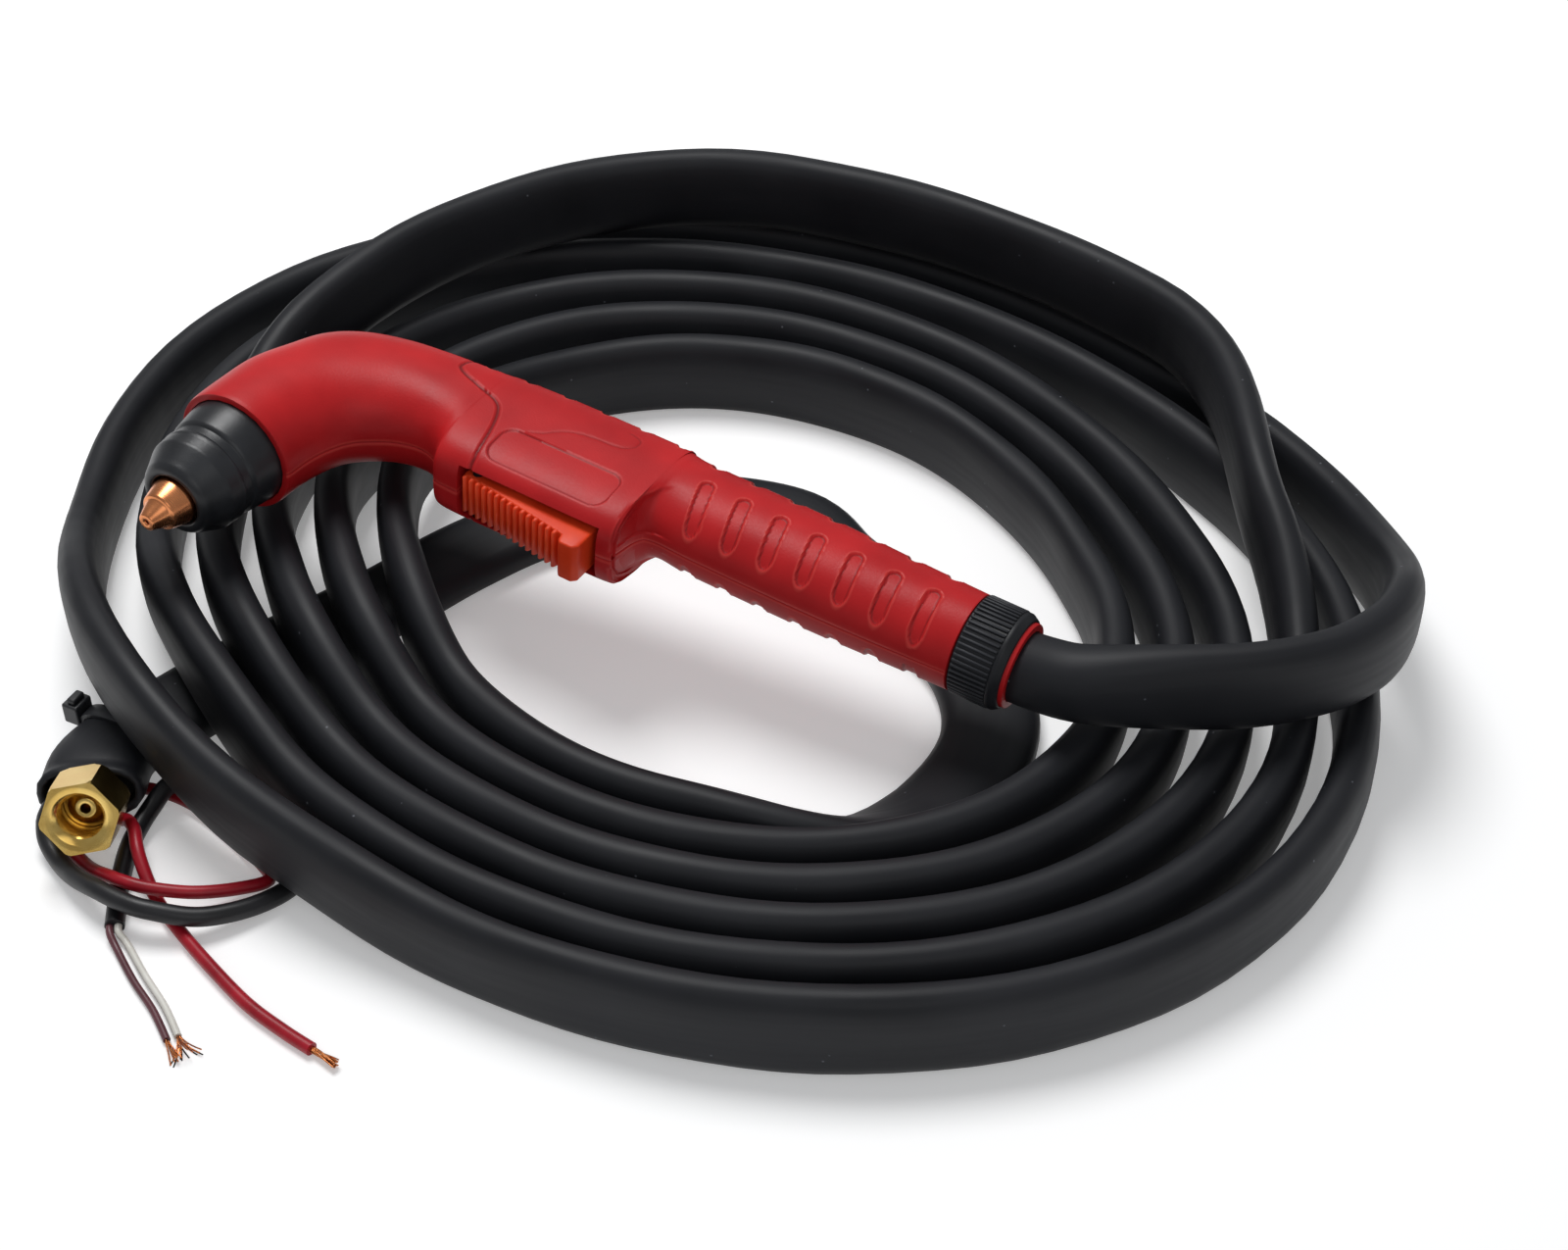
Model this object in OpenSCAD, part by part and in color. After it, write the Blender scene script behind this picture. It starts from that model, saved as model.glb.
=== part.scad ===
// Hand plasma cutting torch with its coiled lead, lying on a flat surface.
// The torch lies on its side: its parting plane faces up, its nozzle points along -Y
// and its handle runs along +X.  The origin is the middle of the cylindrical seat on
// the shield cap, where a stand-off guide clamps.

/* [Handle] */
// Length of the round grip behind the trigger housing
grip_length = 86; // [60:1:120]
// Width of the grip, from palm side to finger side
grip_width = 28.6; // [26:0.2:34]
// Thickness of the grip across the parting line
grip_thick = 25.4; // [24:0.2:32]
// Distance from the mouth of the head to the axis of the grip
grip_offset = 48; // [46:0.5:56]
// Wall of the two shells
shell_wall = 2.2; // [1.6:0.1:2.6]

/* [Head] */
// Diameter of the head at its mouth
mouth_d = 35.2; // [34:0.2:40]
// Thickness of the neck behind the head
neck_thick = 29; // [27:0.5:34]

/* [Trigger housing] */
// Length of the housing along the handle
housing_length = 55; // [52:1:64]
// Thickness of the housing across the parting line
housing_thick = 26; // [25:0.5:32]
// Distance from the grip axis to the lower edge of the housing
housing_drop = 27.5; // [26:0.5:31]

/* [Trigger] */
// Length of the trigger along the handle
trigger_length = 40.5; // [38:0.5:44]
// Width of the trigger
trigger_width = 12.2; // [10:0.2:16]
// Height of the thick rear block below the housing edge
trigger_height = 6.6; // [5:0.2:9]
// Number of ribs on the trigger
trigger_ribs = 15; // [9:1:16]
// Depth of the grooves between the ribs
trigger_groove = 1.1; // [0.6:0.1:1.6]
// Travel of the trigger in degrees
trigger_travel = 5; // [2:0.5:6]
// Diameter of the trigger's pivot pin
trigger_pin_d = 3; // [2:0.5:4]

/* [Front end] */
// Diameter of the cylindrical seat on the shield cap
seat_d = 28.4; // [27:0.2:30]
// Length of the cylindrical seat on the shield cap
seat_length = 8; // [6:0.5:10]
// Length of the whole shield cap outside the head
cap_length = 25; // [23:0.5:30]
// Wall of the shield cap
cap_wall = 1.8; // [1.4:0.1:2.2]
// Diameter of the nozzle tip where it leaves the cap
tip_d = 14.6; // [13:0.2:16]
// Distance the nozzle tip stands out of the cap
tip_reach = 10; // [7:0.5:12]
// Diameter of the nozzle's orifice
orifice_d = 1; // [0.6:0.1:1.6]
// Diameter of the electrode
electrode_d = 7; // [6:0.2:7.6]

/* [Rear collar] */
// Diameter of the ribbed collar
collar_d = 27; // [26:0.5:32]
// Length of the ribbed collar
collar_length = 14.5; // [10:0.5:20]
// Number of ribs round the collar
collar_ribs = 54; // [30:1:60]

/* [Lead] */
// Width of the flattened rubber sheath
sheath_width = 26; // [20:0.5:27]
// Thickness of the flattened rubber sheath
sheath_thick = 11; // [9:0.5:11.5]
// Diameter of the sheath where it is still round
sheath_d = 19; // [16:0.5:20]
// Number of turns in the coil
coil_turns = 6.1; // [5.6:0.1:6.1]

/* [Lead end] */
// Width of the union nut across its flats
nut_af = 18; // [17:0.5:22]
// Length of the union nut
nut_length = 14; // [12:0.5:16]
// Bore of the union nut's thread
nut_bore = 11.4; // [10:0.1:12.5]
// Diameter of the two-core control cable
control_d = 5; // [4:0.2:6]
// Diameter of the pilot wire
pilot_d = 3.4; // [2.6:0.2:4]
// Diameter of one core of the control cable
core_d = 1.9; // [1.4:0.1:2.2]

/* [Lie] */
// Height of the head's axis above the surface
head_height = 57; // [56:0.5:66]
// Slope of the handle, whose collar lies lower than its head, in degrees
torch_pitch = 5.5; // [4:0.5:6]

/* [Hidden] */

$fn = 48;
eps = 0.01;
fit = 0.15;              // radial clearance of a running fit
seat_gap = 0.3;          // clearance between soft or moving faces

shell_red = "#b8302c";
trigger_red = "#d8431f";
cap_black = "#2a2c30";
rubber_black = "#26272b";
brass = "#b08d3a";
copper = "#c07a4a";

// ---------- frame of the torch ----------
mouth_y = seat_length / 2 + 1;
axis_y = mouth_y + grip_offset;
floor_z = -head_height;
housing_x0 = 50;
housing_x1 = housing_x0 + housing_length;
grip_x0 = housing_x1 + 6;
grip_x1 = grip_x0 + grip_length - 1;
collar_x1 = grip_x1 + collar_length;
housing_y = axis_y - housing_drop;

module torch_pose() { rotate([0, torch_pitch, 0]) children(); }
module along_nozzle(y = 0) { translate([0, y, 0]) rotate([90, 0, 0]) children(); }
module along_handle(x = 0) { translate([x, axis_y, 0]) rotate([0, 90, 0]) children(); }

// ---------- small functions ----------
function smooth(t) = t <= 0 ? 0 : t >= 1 ? 1 : t * t * (3 - 2 * t);
function mix(a, b, t) = a + (b - a) * t;
function unit(v) = v / norm(v);
function flat(v) = [v[0], v[1]];
function spow(v, e) = sign(v) * pow(abs(v), e);

// A closed skin over a list of rings that all have the same number of points.
module skin(rings) {
    n = len(rings[0]);
    m = len(rings);
    pts = [for (r = rings) each r];
    sides = [for (i = [0:m - 2], j = [0:n - 1])
        let (a = i * n + j, b = i * n + (j + 1) % n, c = a + n, d = b + n)
        each [[a, c, b], [b, c, d]]];
    first = [for (j = [1:n - 2]) [0, j, j + 1]];
    last = [for (j = [1:n - 2]) let (k = (m - 1) * n) [k, k + j + 1, k + j]];
    polyhedron(pts, concat(sides, first, last), convexity = 10);
}

// ---------- handle shells ----------
// One cross-section of the shells: the point on the finger side, the point on the
// palm side, half the thickness and how square the section is (2 = ellipse).
palm_y = axis_y + grip_width / 2;
finger_y = axis_y - grip_width / 2;
mouth_r = mouth_d / 2;
neck_r = neck_thick / 2;
stations = [
    [[mouth_r - 0.7, mouth_y], [-mouth_r + 0.7, mouth_y], mouth_r - 0.7, 2],
    [[mouth_r, mouth_y + 1], [-mouth_r, mouth_y + 1], mouth_r, 2],
    [[mouth_r + 0.6, mouth_y + 8], [-mouth_r, mouth_y + 11], mouth_r - 0.2, 2],
    [[mouth_r + 2.4, mouth_y + 15], [-mouth_r + 0.6, mouth_y + 24], mouth_r - 0.7, 2],
    [[mouth_r + 5.5, mouth_y + 20.5], [-mouth_r + 4.3, mouth_y + 36], mouth_r - 1.4, 2],
    [[27.5, mouth_y + 24.4], [-8, axis_y - 1], neck_r + 1.2, 2.1],
    [[32, mouth_y + 27.2], [1, axis_y + 6.5], neck_r + 0.6, 2.2],
    [[37, mouth_y + 28.8], [14, axis_y + 11.2], neck_r, 2.3],
    [[41.5, mouth_y + 28.8], [29, palm_y - 1], neck_r - 0.6, 2.5],
    [[45.5, mouth_y + 27], [42, palm_y - 0.4], mix(neck_r, housing_thick / 2, 0.6), 2.8],
    [[housing_x0 - 1.5, housing_y + 2.6], [48, palm_y], housing_thick / 2 + 0.2, 3.2],
    [[housing_x0 + 1.2, housing_y], [52, palm_y + 0.2], housing_thick / 2, 3.6],
    [[housing_x0 + 20, housing_y], [70, palm_y + 0.8], housing_thick / 2, 3.8],
    [[housing_x1 - 3, housing_y], [housing_x1 - 3, palm_y + 1.4], housing_thick / 2, 3.6],
    [[housing_x1 - 0.5, housing_y + 2.4], [housing_x1 - 0.5, palm_y + 1.4], housing_thick / 2, 3.2],
    [[housing_x1 + 1.4, finger_y - 2.6], [housing_x1 + 1.6, palm_y + 1.5],
        mix(grip_thick, housing_thick, 0.6) / 2, 2.6],
    [[grip_x0 - 1, finger_y], [grip_x0, palm_y + 1.5], grip_thick / 2, 2.3],
    [[grip_x0 + 12, finger_y - 0.4], [grip_x0 + 12, palm_y + 1.6], grip_thick / 2 + 0.2, 2.2],
    [[grip_x0 + 40, finger_y - 0.6], [grip_x0 + 40, palm_y + 1.2], grip_thick / 2 + 0.2, 2.2],
    [[grip_x1 - 22, finger_y - 0.2], [grip_x1 - 22, palm_y + 0.2], grip_thick / 2, 2.1],
    [[grip_x1, axis_y - collar_d / 2], [grip_x1, axis_y + collar_d / 2], collar_d / 2 - 0.5, 2]
];
shell_sides = 24;

// Stations are joined by smooth curves, three steps to each span.
function curve4(a, b, c, d, t) = 0.5 * (2 * b + (c - a) * t + (2 * a - 5 * b + 4 * c - d) * t * t
    + (3 * b - a - 3 * c + d) * t * t * t);
function station_at(i, t) = let (n = len(stations) - 1, a = stations[max(i - 1, 0)],
    b = stations[i], c = stations[min(i + 1, n)], d = stations[min(i + 2, n)])
    [for (k = [0:3]) curve4(a[k], b[k], c[k], d[k], t)];
function shell_ring(s, inset, sides) = let (mid = (s[0] + s[1]) / 2, half = (s[1] - s[0]) / 2,
    r = norm(half) - inset, h = s[2] - inset, u = unit(half), e = 2 / s[3])
    [for (k = [0:sides - 1]) let (a = 360 * k / sides)
        [mid[0] + u[0] * r * spow(cos(a), e), mid[1] + u[1] * r * spow(cos(a), e), h * spow(sin(a), e)]];
function shell_rings(inset, sides, steps) = [for (i = [0:len(stations) - 2], j = [0:steps - 1])
    shell_ring(station_at(i, j / steps), inset, sides)];

module shell_solid() {
    skin(concat(shell_rings(0, shell_sides, 2), [shell_ring(stations[len(stations) - 1], 0, shell_sides)]));
}
module shell_hollow() {
    skin(concat(shell_rings(shell_wall, 16, 1),
        [shell_ring(stations[len(stations) - 1], shell_wall, 16)]));
}

tail_r = collar_d / 2 - 1.9;       // threaded tails of the shells, under the collar
tail_bore = sheath_d / 2 + seat_gap;
tail_rim = 0.9;                    // the tails show behind the collar
trigger_x0 = housing_x0 + 8.4;
trigger_x1 = trigger_x0 + trigger_length;
slot_w = trigger_width + 4.8;
slot_front = 1.2;                  // gaps before and behind the trigger in its slot
slot_rear = 1.8;
screw_places = [[housing_x0 - 15.5, axis_y + 7.6], [housing_x1 + 3, axis_y + 8.6], [grip_x1 - 40, axis_y + 8.4]];
screw_d = 2.6;
boss_d = 6;
screw_head = shell_wall;
screw_tip = 3 * shell_wall;
screw_seat = housing_thick / 2 - 2.5 * shell_wall;   // depth of the ledge under each screw's head

// Recesses moulded into the grip: slanted ovals on both sides, notches over the palm side,
// a bare panel above the trigger and a groove that parts the neck from the housing.
recess = 0.8;
shallow = 0.45;
oval_w = 4;
ovals = 7;
oval_x0 = grip_x0 + 6.2;
oval_pitch = (grip_x1 - 10.6 - oval_x0) / (ovals - 1);
notch_w = 4.2;
notches = 13;
notch_x0 = housing_x0 - 7.7;
notch_pitch = (grip_x1 - 10 - notch_x0) / (notches - 1);
notch_z = housing_thick / 2 - 2 - notch_w / 2;
groove_w = 0.9;
groove_path = [[housing_x0 - 13.6, palm_y + 2], [housing_x0 - 13.6, axis_y + 5], [housing_x0 - 12.4, axis_y + 2.4],
    [housing_x0 - 9, axis_y + 0.6], [housing_x0 - 4, axis_y - 1], [housing_x0 + 2, axis_y - 2.8],
    [housing_x0 + 5.6, axis_y - 6.5], [housing_x0 + 8.8, axis_y - 15.6], [housing_x0 + 11.2, housing_y - 3]];
module slot_outline(a, b, w) {
    long = norm(b - a);
    translate(a) rotate(atan2(b[1] - a[1], b[0] - a[0])) {
        translate([0, -w / 2]) square([long, w]);
        for (x = [0, long]) translate([x, 0]) circle(d = w, $fn = 16);
    }
}
function along(pts, i) = unit(pts[min(i + 1, len(pts) - 1)] - pts[max(i - 1, 0)]);
function beside_path(pts, off) = [for (i = [0:len(pts) - 1]) let (t = along(pts, i)) pts[i] + off * [-t[1], t[0]]];
module groove_outline() {
    left = beside_path(groove_path, groove_w / 2);
    right = beside_path(groove_path, -groove_w / 2);
    polygon(concat(left, [for (i = [len(right) - 1:-1:0]) right[i]]));
}
module through() { translate([0, 0, -housing_thick]) linear_extrude(2 * housing_thick) children(); }
module ovals_cut() {
    through() for (k = [0:ovals - 1])
        slot_outline([oval_x0 + k * oval_pitch, axis_y - 0.2 - 0.4 * k],
            [oval_x0 + 2.6 + k * (oval_pitch - 0.35), finger_y + 3], oval_w);
}
module notches_cut() {
    for (k = [0:notches - 1]) translate([notch_x0 + k * notch_pitch, axis_y + 2, 0]) rotate([-90, 0, 0])
        linear_extrude(grip_width) slot_outline([0, -notch_z], [0, notch_z], notch_w);
}
panel_r = 4;
module panel_cut() {
    translate([housing_x0 + 11.5 + panel_r, housing_y + 4.8 + panel_r, 0]) through() offset(panel_r, $fn = 24)
        square([housing_length - 18 - 2 * panel_r, 0.47 * housing_drop - 2 * panel_r]);
}
module recessed(depth) {
    difference() {
        children();
        skin(shell_rings(depth, shell_sides, 2));
    }
}

module shells() {
    difference() {
        union() {
            difference() {
                shell_solid();
                shell_hollow();
                recessed(recess) { ovals_cut(); }
                recessed(recess) { notches_cut(); }
                recessed(shallow) { panel_cut(); }
                recessed(shallow) through() groove_outline();
            }
            intersection() {
                skin(shell_rings(shell_wall / 2, shell_sides, 2));
                union() {
                    for (p = screw_places)
                        translate([p[0], p[1], -housing_thick]) cylinder(d = boss_d, h = 2 * housing_thick);
                    translate([trigger_pin[0], trigger_pin[1], -housing_thick])
                        cylinder(d = trigger_pin_d + 2 * shell_wall, h = 2 * housing_thick);
                }
            }
            along_handle(grip_x1 - shell_wall) cylinder(r = tail_r, h = collar_length + shell_wall + tail_rim);
        }
        along_handle(grip_x1 - 3 * shell_wall) cylinder(r = tail_bore, h = 2 * collar_length + shell_wall);
        along_nozzle(mouth_y + 4 * shell_wall) cylinder(d = mouth_d - 2 * shell_wall, h = 6 * shell_wall);
        trigger_slot();
        for (p = screw_places) translate([p[0], p[1], -2 * housing_thick]) {
            cylinder(d = screw_d + 2 * fit, h = 2 * housing_thick + screw_tip + seat_gap);
            cylinder(d = boss_d - 0.8, h = 2 * housing_thick - screw_seat);
        }
    }
}
module trigger_slot() {
    translate([trigger_x0 - slot_front, housing_y - housing_drop, -slot_w / 2])
        cube([slot_front + trigger_length + slot_rear, housing_drop + slot_depth, slot_w]);
    translate([trigger_pin[0], trigger_pin[1], -trigger_pin_len / 2])
        cylinder(d = trigger_pin_d + 0.1, h = trigger_pin_len);
}
module half_space(side) {
    big = 2 * collar_x1;
    translate([-big / 2, -big / 2, side > 0 ? 0 : -big]) cube([2 * big, big, big]);
}
module shell_upper() {
    color(shell_red) torch_pose() intersection() { shells(); half_space(1); }
}
module shell_lower() {
    color(shell_red) torch_pose() intersection() { shells(); half_space(-1); }
}
module shell_screws() {
    color("silver") torch_pose() for (p = screw_places)
        translate([p[0], p[1], -screw_seat]) {
            cylinder(d = screw_d, h = screw_seat + screw_tip);
            translate([0, 0, -screw_head]) cylinder(d = boss_d - 1.2, h = screw_head - eps);
        }
}

// ---------- trigger and its switch ----------
trigger_pin = [trigger_x0 + 3.2, housing_y + 3.6];
trigger_pin_len = mix(slot_w, housing_thick, 0.5);
trigger_block = 7;                // smooth block behind the ribs
block_y = housing_y - trigger_height;
rib_run = trigger_length - trigger_block;
rib_pitch = rib_run / trigger_ribs;
plunger_x = trigger_x0 + trigger_length * 0.55;
plunger_d = 3;
guide_d = 2 * plunger_d + 0.2;    // well in which the plunger moves
guide_depth = 8;
plunger_throw = (plunger_x - trigger_pin[0]) * sin(trigger_travel);
trigger_back_y = housing_y + 6.2;
slot_depth = trigger_back_y - housing_y + 1.6;
switch_y = trigger_back_y + 5;

function rib_face(x) = housing_y + 0.6 - (trigger_height - 1.4) * (x - trigger_x0) / rib_run;
module trigger_outline() {
    polygon(concat(
        [[trigger_x0, trigger_back_y], [trigger_x0, rib_face(trigger_x0)]],
        [for (i = [0:trigger_ribs - 1]) let (x = trigger_x0 + 0.4 + i * rib_pitch) each [
            [x, rib_face(x)], [x + rib_pitch * 0.5, rib_face(x + rib_pitch * 0.5)],
            [x + rib_pitch * 0.6, rib_face(x + rib_pitch * 0.6) + trigger_groove],
            [x + rib_pitch * 0.9, rib_face(x + rib_pitch * 0.9) + trigger_groove]]],
        [[trigger_x1 - trigger_block + 1, block_y + 1.2], [trigger_x1 - trigger_block + 1.8, block_y],
            [trigger_x1 - 1.2, block_y], [trigger_x1, block_y + 1.2], [trigger_x1, trigger_back_y]]));
}
module trigger() {
    color(trigger_red) torch_pose() difference() {
        translate([0, 0, -trigger_width / 2]) linear_extrude(trigger_width) trigger_outline();
        translate([trigger_pin[0], trigger_pin[1], -trigger_width])
            cylinder(d = trigger_pin_d + 2 * fit, h = 2 * trigger_width);
        translate([trigger_x1 - 8, trigger_back_y - 6, 0]) rotate([-90, 0, 0]) cylinder(d = 6, h = 10);
    }
}
module trigger_pin() {
    color("silver") torch_pose() translate([trigger_pin[0], trigger_pin[1], -trigger_pin_len / 2 + fit])
        cylinder(d = trigger_pin_d, h = trigger_pin_len - 2 * fit);
}
spring_coils = 6;
spring_wire = 0.6;
spring_y0 = trigger_back_y - 6 + seat_gap;
spring_y1 = switch_y - seat_gap;
function spring_point(t) = [trigger_x1 - 8 + 2.1 * cos(360 * spring_coils * t),
    mix(spring_y0 + spring_wire, spring_y1 - spring_wire, t), 2.1 * sin(360 * spring_coils * t)];
module trigger_spring() {
    n = 8 * spring_coils;
    color("silver") torch_pose()
        skin([for (i = [0:n]) let (p = spring_point(i / n), q = spring_point((i + 0.5) / n) - spring_point((i - 0.5) / n),
            t = unit(q), s = unit(cross(t, [0, 1, 0])), u = cross(s, t))
            [for (k = [0:5]) p + spring_wire / 2 * (cos(60 * k) * s + sin(60 * k) * u)]]);
}
switch_size = [27, 11, 10];
switch_x0 = plunger_x - 8;
flange_w = housing_thick - 2 * shell_wall - 6 * seat_gap;
module switch_body() {
    color("#202124") torch_pose() difference() {
        union() {
            translate([switch_x0, switch_y, -switch_size[2] / 2]) cube(switch_size);
            translate([switch_x0 + 3, switch_y, -flange_w / 2]) cube([switch_size[0] - 6, 2.4, flange_w]);
        }
        translate([plunger_x, switch_y - 1, 0]) rotate([-90, 0, 0]) cylinder(d = guide_d, h = guide_depth + 1);
    }
}
module switch_plunger() {
    color("#b9302a") torch_pose() translate([plunger_x, trigger_back_y + seat_gap, 0])
        rotate([-90, 0, 0]) cylinder(d = plunger_d, h = switch_y - trigger_back_y + 3);
}

// ---------- front end ----------
cap_front_y = mouth_y - cap_length;
waist_y = -seat_length / 2;
seat_r = seat_d / 2;
thread_r = seat_r - cap_wall - fit;
cap_hole_r = tip_d / 2 + seat_gap;
module turned(points) { along_nozzle() rotate_extrude($fn = 64) polygon(points); }
// Points of a turned outline are [radius, distance towards the tip].
cap_reach = -cap_front_y;
module shield_cap() {
    color(cap_black) torch_pose() turned([
        [thread_r + fit, -mouth_y - 6], [seat_r - 1, -mouth_y - 6], [seat_r - 0.6, -mouth_y - 5],
        [seat_r - 0.6, waist_y], [seat_r, waist_y], [seat_r, -waist_y], [seat_r - 0.9, -waist_y + 0.8], [seat_r - 0.9, -waist_y + 3],
        [seat_r, -waist_y + 3.4], [seat_r - 0.1, -waist_y + 6], [seat_r - 1, cap_reach - 4.4],
        [seat_r - 2.6, cap_reach - 2], [seat_r - 4.6, cap_reach - 0.5], [cap_hole_r + 0.5, cap_reach],
        [cap_hole_r, cap_reach - 0.4], [cap_hole_r, cap_reach - 2.5],
        [seat_r - cap_wall - 3, cap_reach - 5], [thread_r + fit, cap_reach - 9]]);
}
tip_base_r = tip_d / 2 + 1.9;
tip_shoulder = cap_reach - 5.4;
module nozzle_tip() {
    color(copper) torch_pose() turned([
        [electrode_d / 2 + 1.1, tip_shoulder - 3], [tip_base_r, tip_shoulder - 3], [tip_base_r, tip_shoulder],
        [tip_d / 2, tip_shoulder + 1.6], [tip_d / 2, cap_reach], [tip_d / 2 - 2.6, cap_reach + tip_reach - 3.6],
        [2.5, cap_reach + tip_reach - 0.2], [2.2, cap_reach + tip_reach], [orifice_d / 2, cap_reach + tip_reach],
        [orifice_d / 2, cap_reach + tip_reach - 4], [electrode_d / 2 + 1.1, cap_reach + tip_reach - 7]]);
}
swirl_back = tip_shoulder - 3 - 6;
module swirl_ring() {
    color("#d8d2c4") torch_pose() along_nozzle(-swirl_back) difference() {
        cylinder(r = tip_base_r, h = 6);
        translate([0, 0, -1]) cylinder(r = electrode_d / 2 + 0.9, h = 8);
        for (k = [0:5]) rotate([0, 0, 60 * k]) translate([2, 0, 4.2]) rotate([90, 0, 0])
            cylinder(d = 0.9, h = 20, $fn = 16);
    }
}
electrode_front = cap_reach + tip_reach - 8.2;
hafnium_d = 1.6;
stem_r = 2.4;
module electrode() {
    color(copper) torch_pose() difference() {
        turned([[0, electrode_front], [electrode_d / 2 - 0.8, electrode_front],
            [electrode_d / 2, electrode_front - 0.8], [electrode_d / 2, swirl_back + 2],
            [electrode_d / 2 + 0.7, swirl_back + 2], [electrode_d / 2 + 0.7, swirl_back],
            [stem_r, swirl_back], [stem_r, swirl_back - 6], [0, swirl_back - 6]]);
        along_nozzle(-electrode_front + 2) cylinder(d = hafnium_d, h = 4, $fn = 24);
    }
}
module hafnium_insert() {
    color("#8c8f92") torch_pose() along_nozzle(-electrode_front + 2) cylinder(d = hafnium_d, h = 2, $fn = 24);
}
head_back_y = mouth_y + 0.55 * grip_offset;
head_r = mouth_r - 2 * shell_wall - seat_gap;
tube_r = 4;
groove_y = mouth_y + 1;
module head_body() {
    color("#c9b58a") torch_pose() difference() {
        turned([[0, -head_back_y], [head_r - 3, -head_back_y], [head_r - 1, -head_back_y + 3],
            [head_r - 1, -mouth_y - 7], [thread_r - 0.4, -mouth_y - 7], [thread_r - 0.4, -groove_y - 1],
            [thread_r - 1.6, -groove_y - 1], [thread_r - 1.6, -groove_y + 1], [thread_r, -groove_y + 1],
            [thread_r, swirl_back], [0, swirl_back]]);
        along_nozzle(-swirl_back + 6.2) cylinder(r = stem_r + 0.05, h = 8);
        along_nozzle(head_back_y + 1) cylinder(r = tube_r, h = 14);
    }
}
module cap_o_ring() {
    color("#303030") torch_pose() along_nozzle(groove_y) rotate_extrude($fn = 48)
        translate([thread_r - 0.75, 0]) circle(r = 0.8, $fn = 16);
}
bend_r = 12;
tube_top = axis_y - bend_r;
power_end_x = housing_x0 - 6;
module power_tube() {
    color(brass) torch_pose() {
        difference() {
            union() {
                along_nozzle(tube_top) cylinder(r = tube_r, h = tube_top - head_back_y + 13);
                translate([bend_r, tube_top, 0]) rotate([0, 0, 90])
                    rotate_extrude(angle = 90) translate([bend_r, 0]) circle(r = tube_r);
                along_handle(bend_r) cylinder(r = tube_r, h = power_end_x - bend_r);
                along_handle(power_end_x - 6) cylinder(r = tube_r + 1.6, h = 6, $fn = 6);
            }
            along_handle(power_end_x - 3) cylinder(r = tube_r - 1.5, h = 4);
        }
    }
}
clamp_x = grip_x1 - 24;
hose_r = 4.5;
lead_x0 = clamp_x - 2;
module power_hose() {
    color("#1f2023") torch_pose() along_handle(power_end_x) cylinder(r = hose_r, h = lead_x0 - power_end_x);
}

// ---------- rear collar and cable clamp ----------
module collar_outline() {
    ridge = 0.7;
    polygon([for (i = [0:collar_ribs - 1], s = [0:3])
        let (a = 360 * (i + [0, 0.3, 0.5, 0.8][s]) / collar_ribs, r = collar_d / 2 - (s < 2 ? 0 : ridge))
        [r * cos(a), r * sin(a)]]);
}
module rear_collar() {
    color(cap_black) torch_pose() along_handle(grip_x1 + seat_gap) difference() {
        union() {
            cylinder(r = collar_d / 2 - 0.4, h = 1.4);
            translate([0, 0, 1.2]) linear_extrude(collar_length - 4) collar_outline();
            translate([0, 0, collar_length - 3]) cylinder(r1 = collar_d / 2 - 0.3, r2 = collar_d / 2 - 1.2, h = 2.4);
        }
        translate([0, 0, -1]) cylinder(r = tail_r + fit, h = collar_length + 2);
    }
}
clamp_len = 9;
gripped_d = sheath_d - 4;         // the sheath where the clamp squeezes it
module cable_clamp() {
    color("#2e3033") torch_pose() difference() {
        along_handle(clamp_x) cylinder(r = grip_thick / 2 - shell_wall - 2 * seat_gap, h = clamp_len);
        along_handle(clamp_x - 1) cylinder(r = gripped_d / 2 + seat_gap, h = clamp_len + 2);
        translate([clamp_x - 1, 0, -0.6]) cube([clamp_len + 2, 2 * axis_y, 1.2]);
    }
}

// ---------- lead: its sheath ----------
lean_cut = sheath_thick / 10;     // how deep the lying sheath is cut flat
upright_z = floor_z + sheath_width / 2 - lean_cut;
lying_z = floor_z + sheath_thick / 2 - lean_cut;
coil_long = 199;                  // half length of the outermost turn
coil_short = 157.5;               // half width of the outermost turn
coil_step = [18.4, 13.4];         // how much smaller each turn is than the last
coil_centre = [107.5, 72];
coil_drift = [2.5, -1.6];         // how far the centre moves with each turn
coil_start = 30;                  // direction, in degrees, in which the turns are counted
coil_skew = 0.04;
raise_height = sheath_width + 1.5;
raise_swing = 2;                  // turns by which the raised turn swings outwards
bulge = 8;                        // how far the outermost turn bows out beside the head
close_up = 1.1;                   // turns by which the inner turns close up under the raised one
slack_depth = 42;                 // how far the innermost turn falls inwards
first_turn = 0.1;

// The outline of the sheath, as [across, up], for n points.
function sheath_section(n, w, t) = n == 6
    ? [for (q = [[0.32, 0.5], [0.5, 0], [0.32, -0.5], [-0.32, -0.5], [-0.5, 0], [-0.32, 0.5]]) [t * q[0], w * q[1]]]
    : [for (k = [0:n - 1]) let (a = 360 * (k + 0.5) / n)
        [t / 2 * cos(a), (w - t) / 2 * sign(sin(a)) + t / 2 * sin(a)]];
function place_section(p, dir, roll, section) = let (t = unit(dir), s = unit([t[1], -t[0], 0]), u = cross(s, t))
    [for (q = section) p + s * (q[0] * cos(roll) + q[1] * sin(roll)) + u * (q[1] * cos(roll) - q[0] * sin(roll))];

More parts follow.
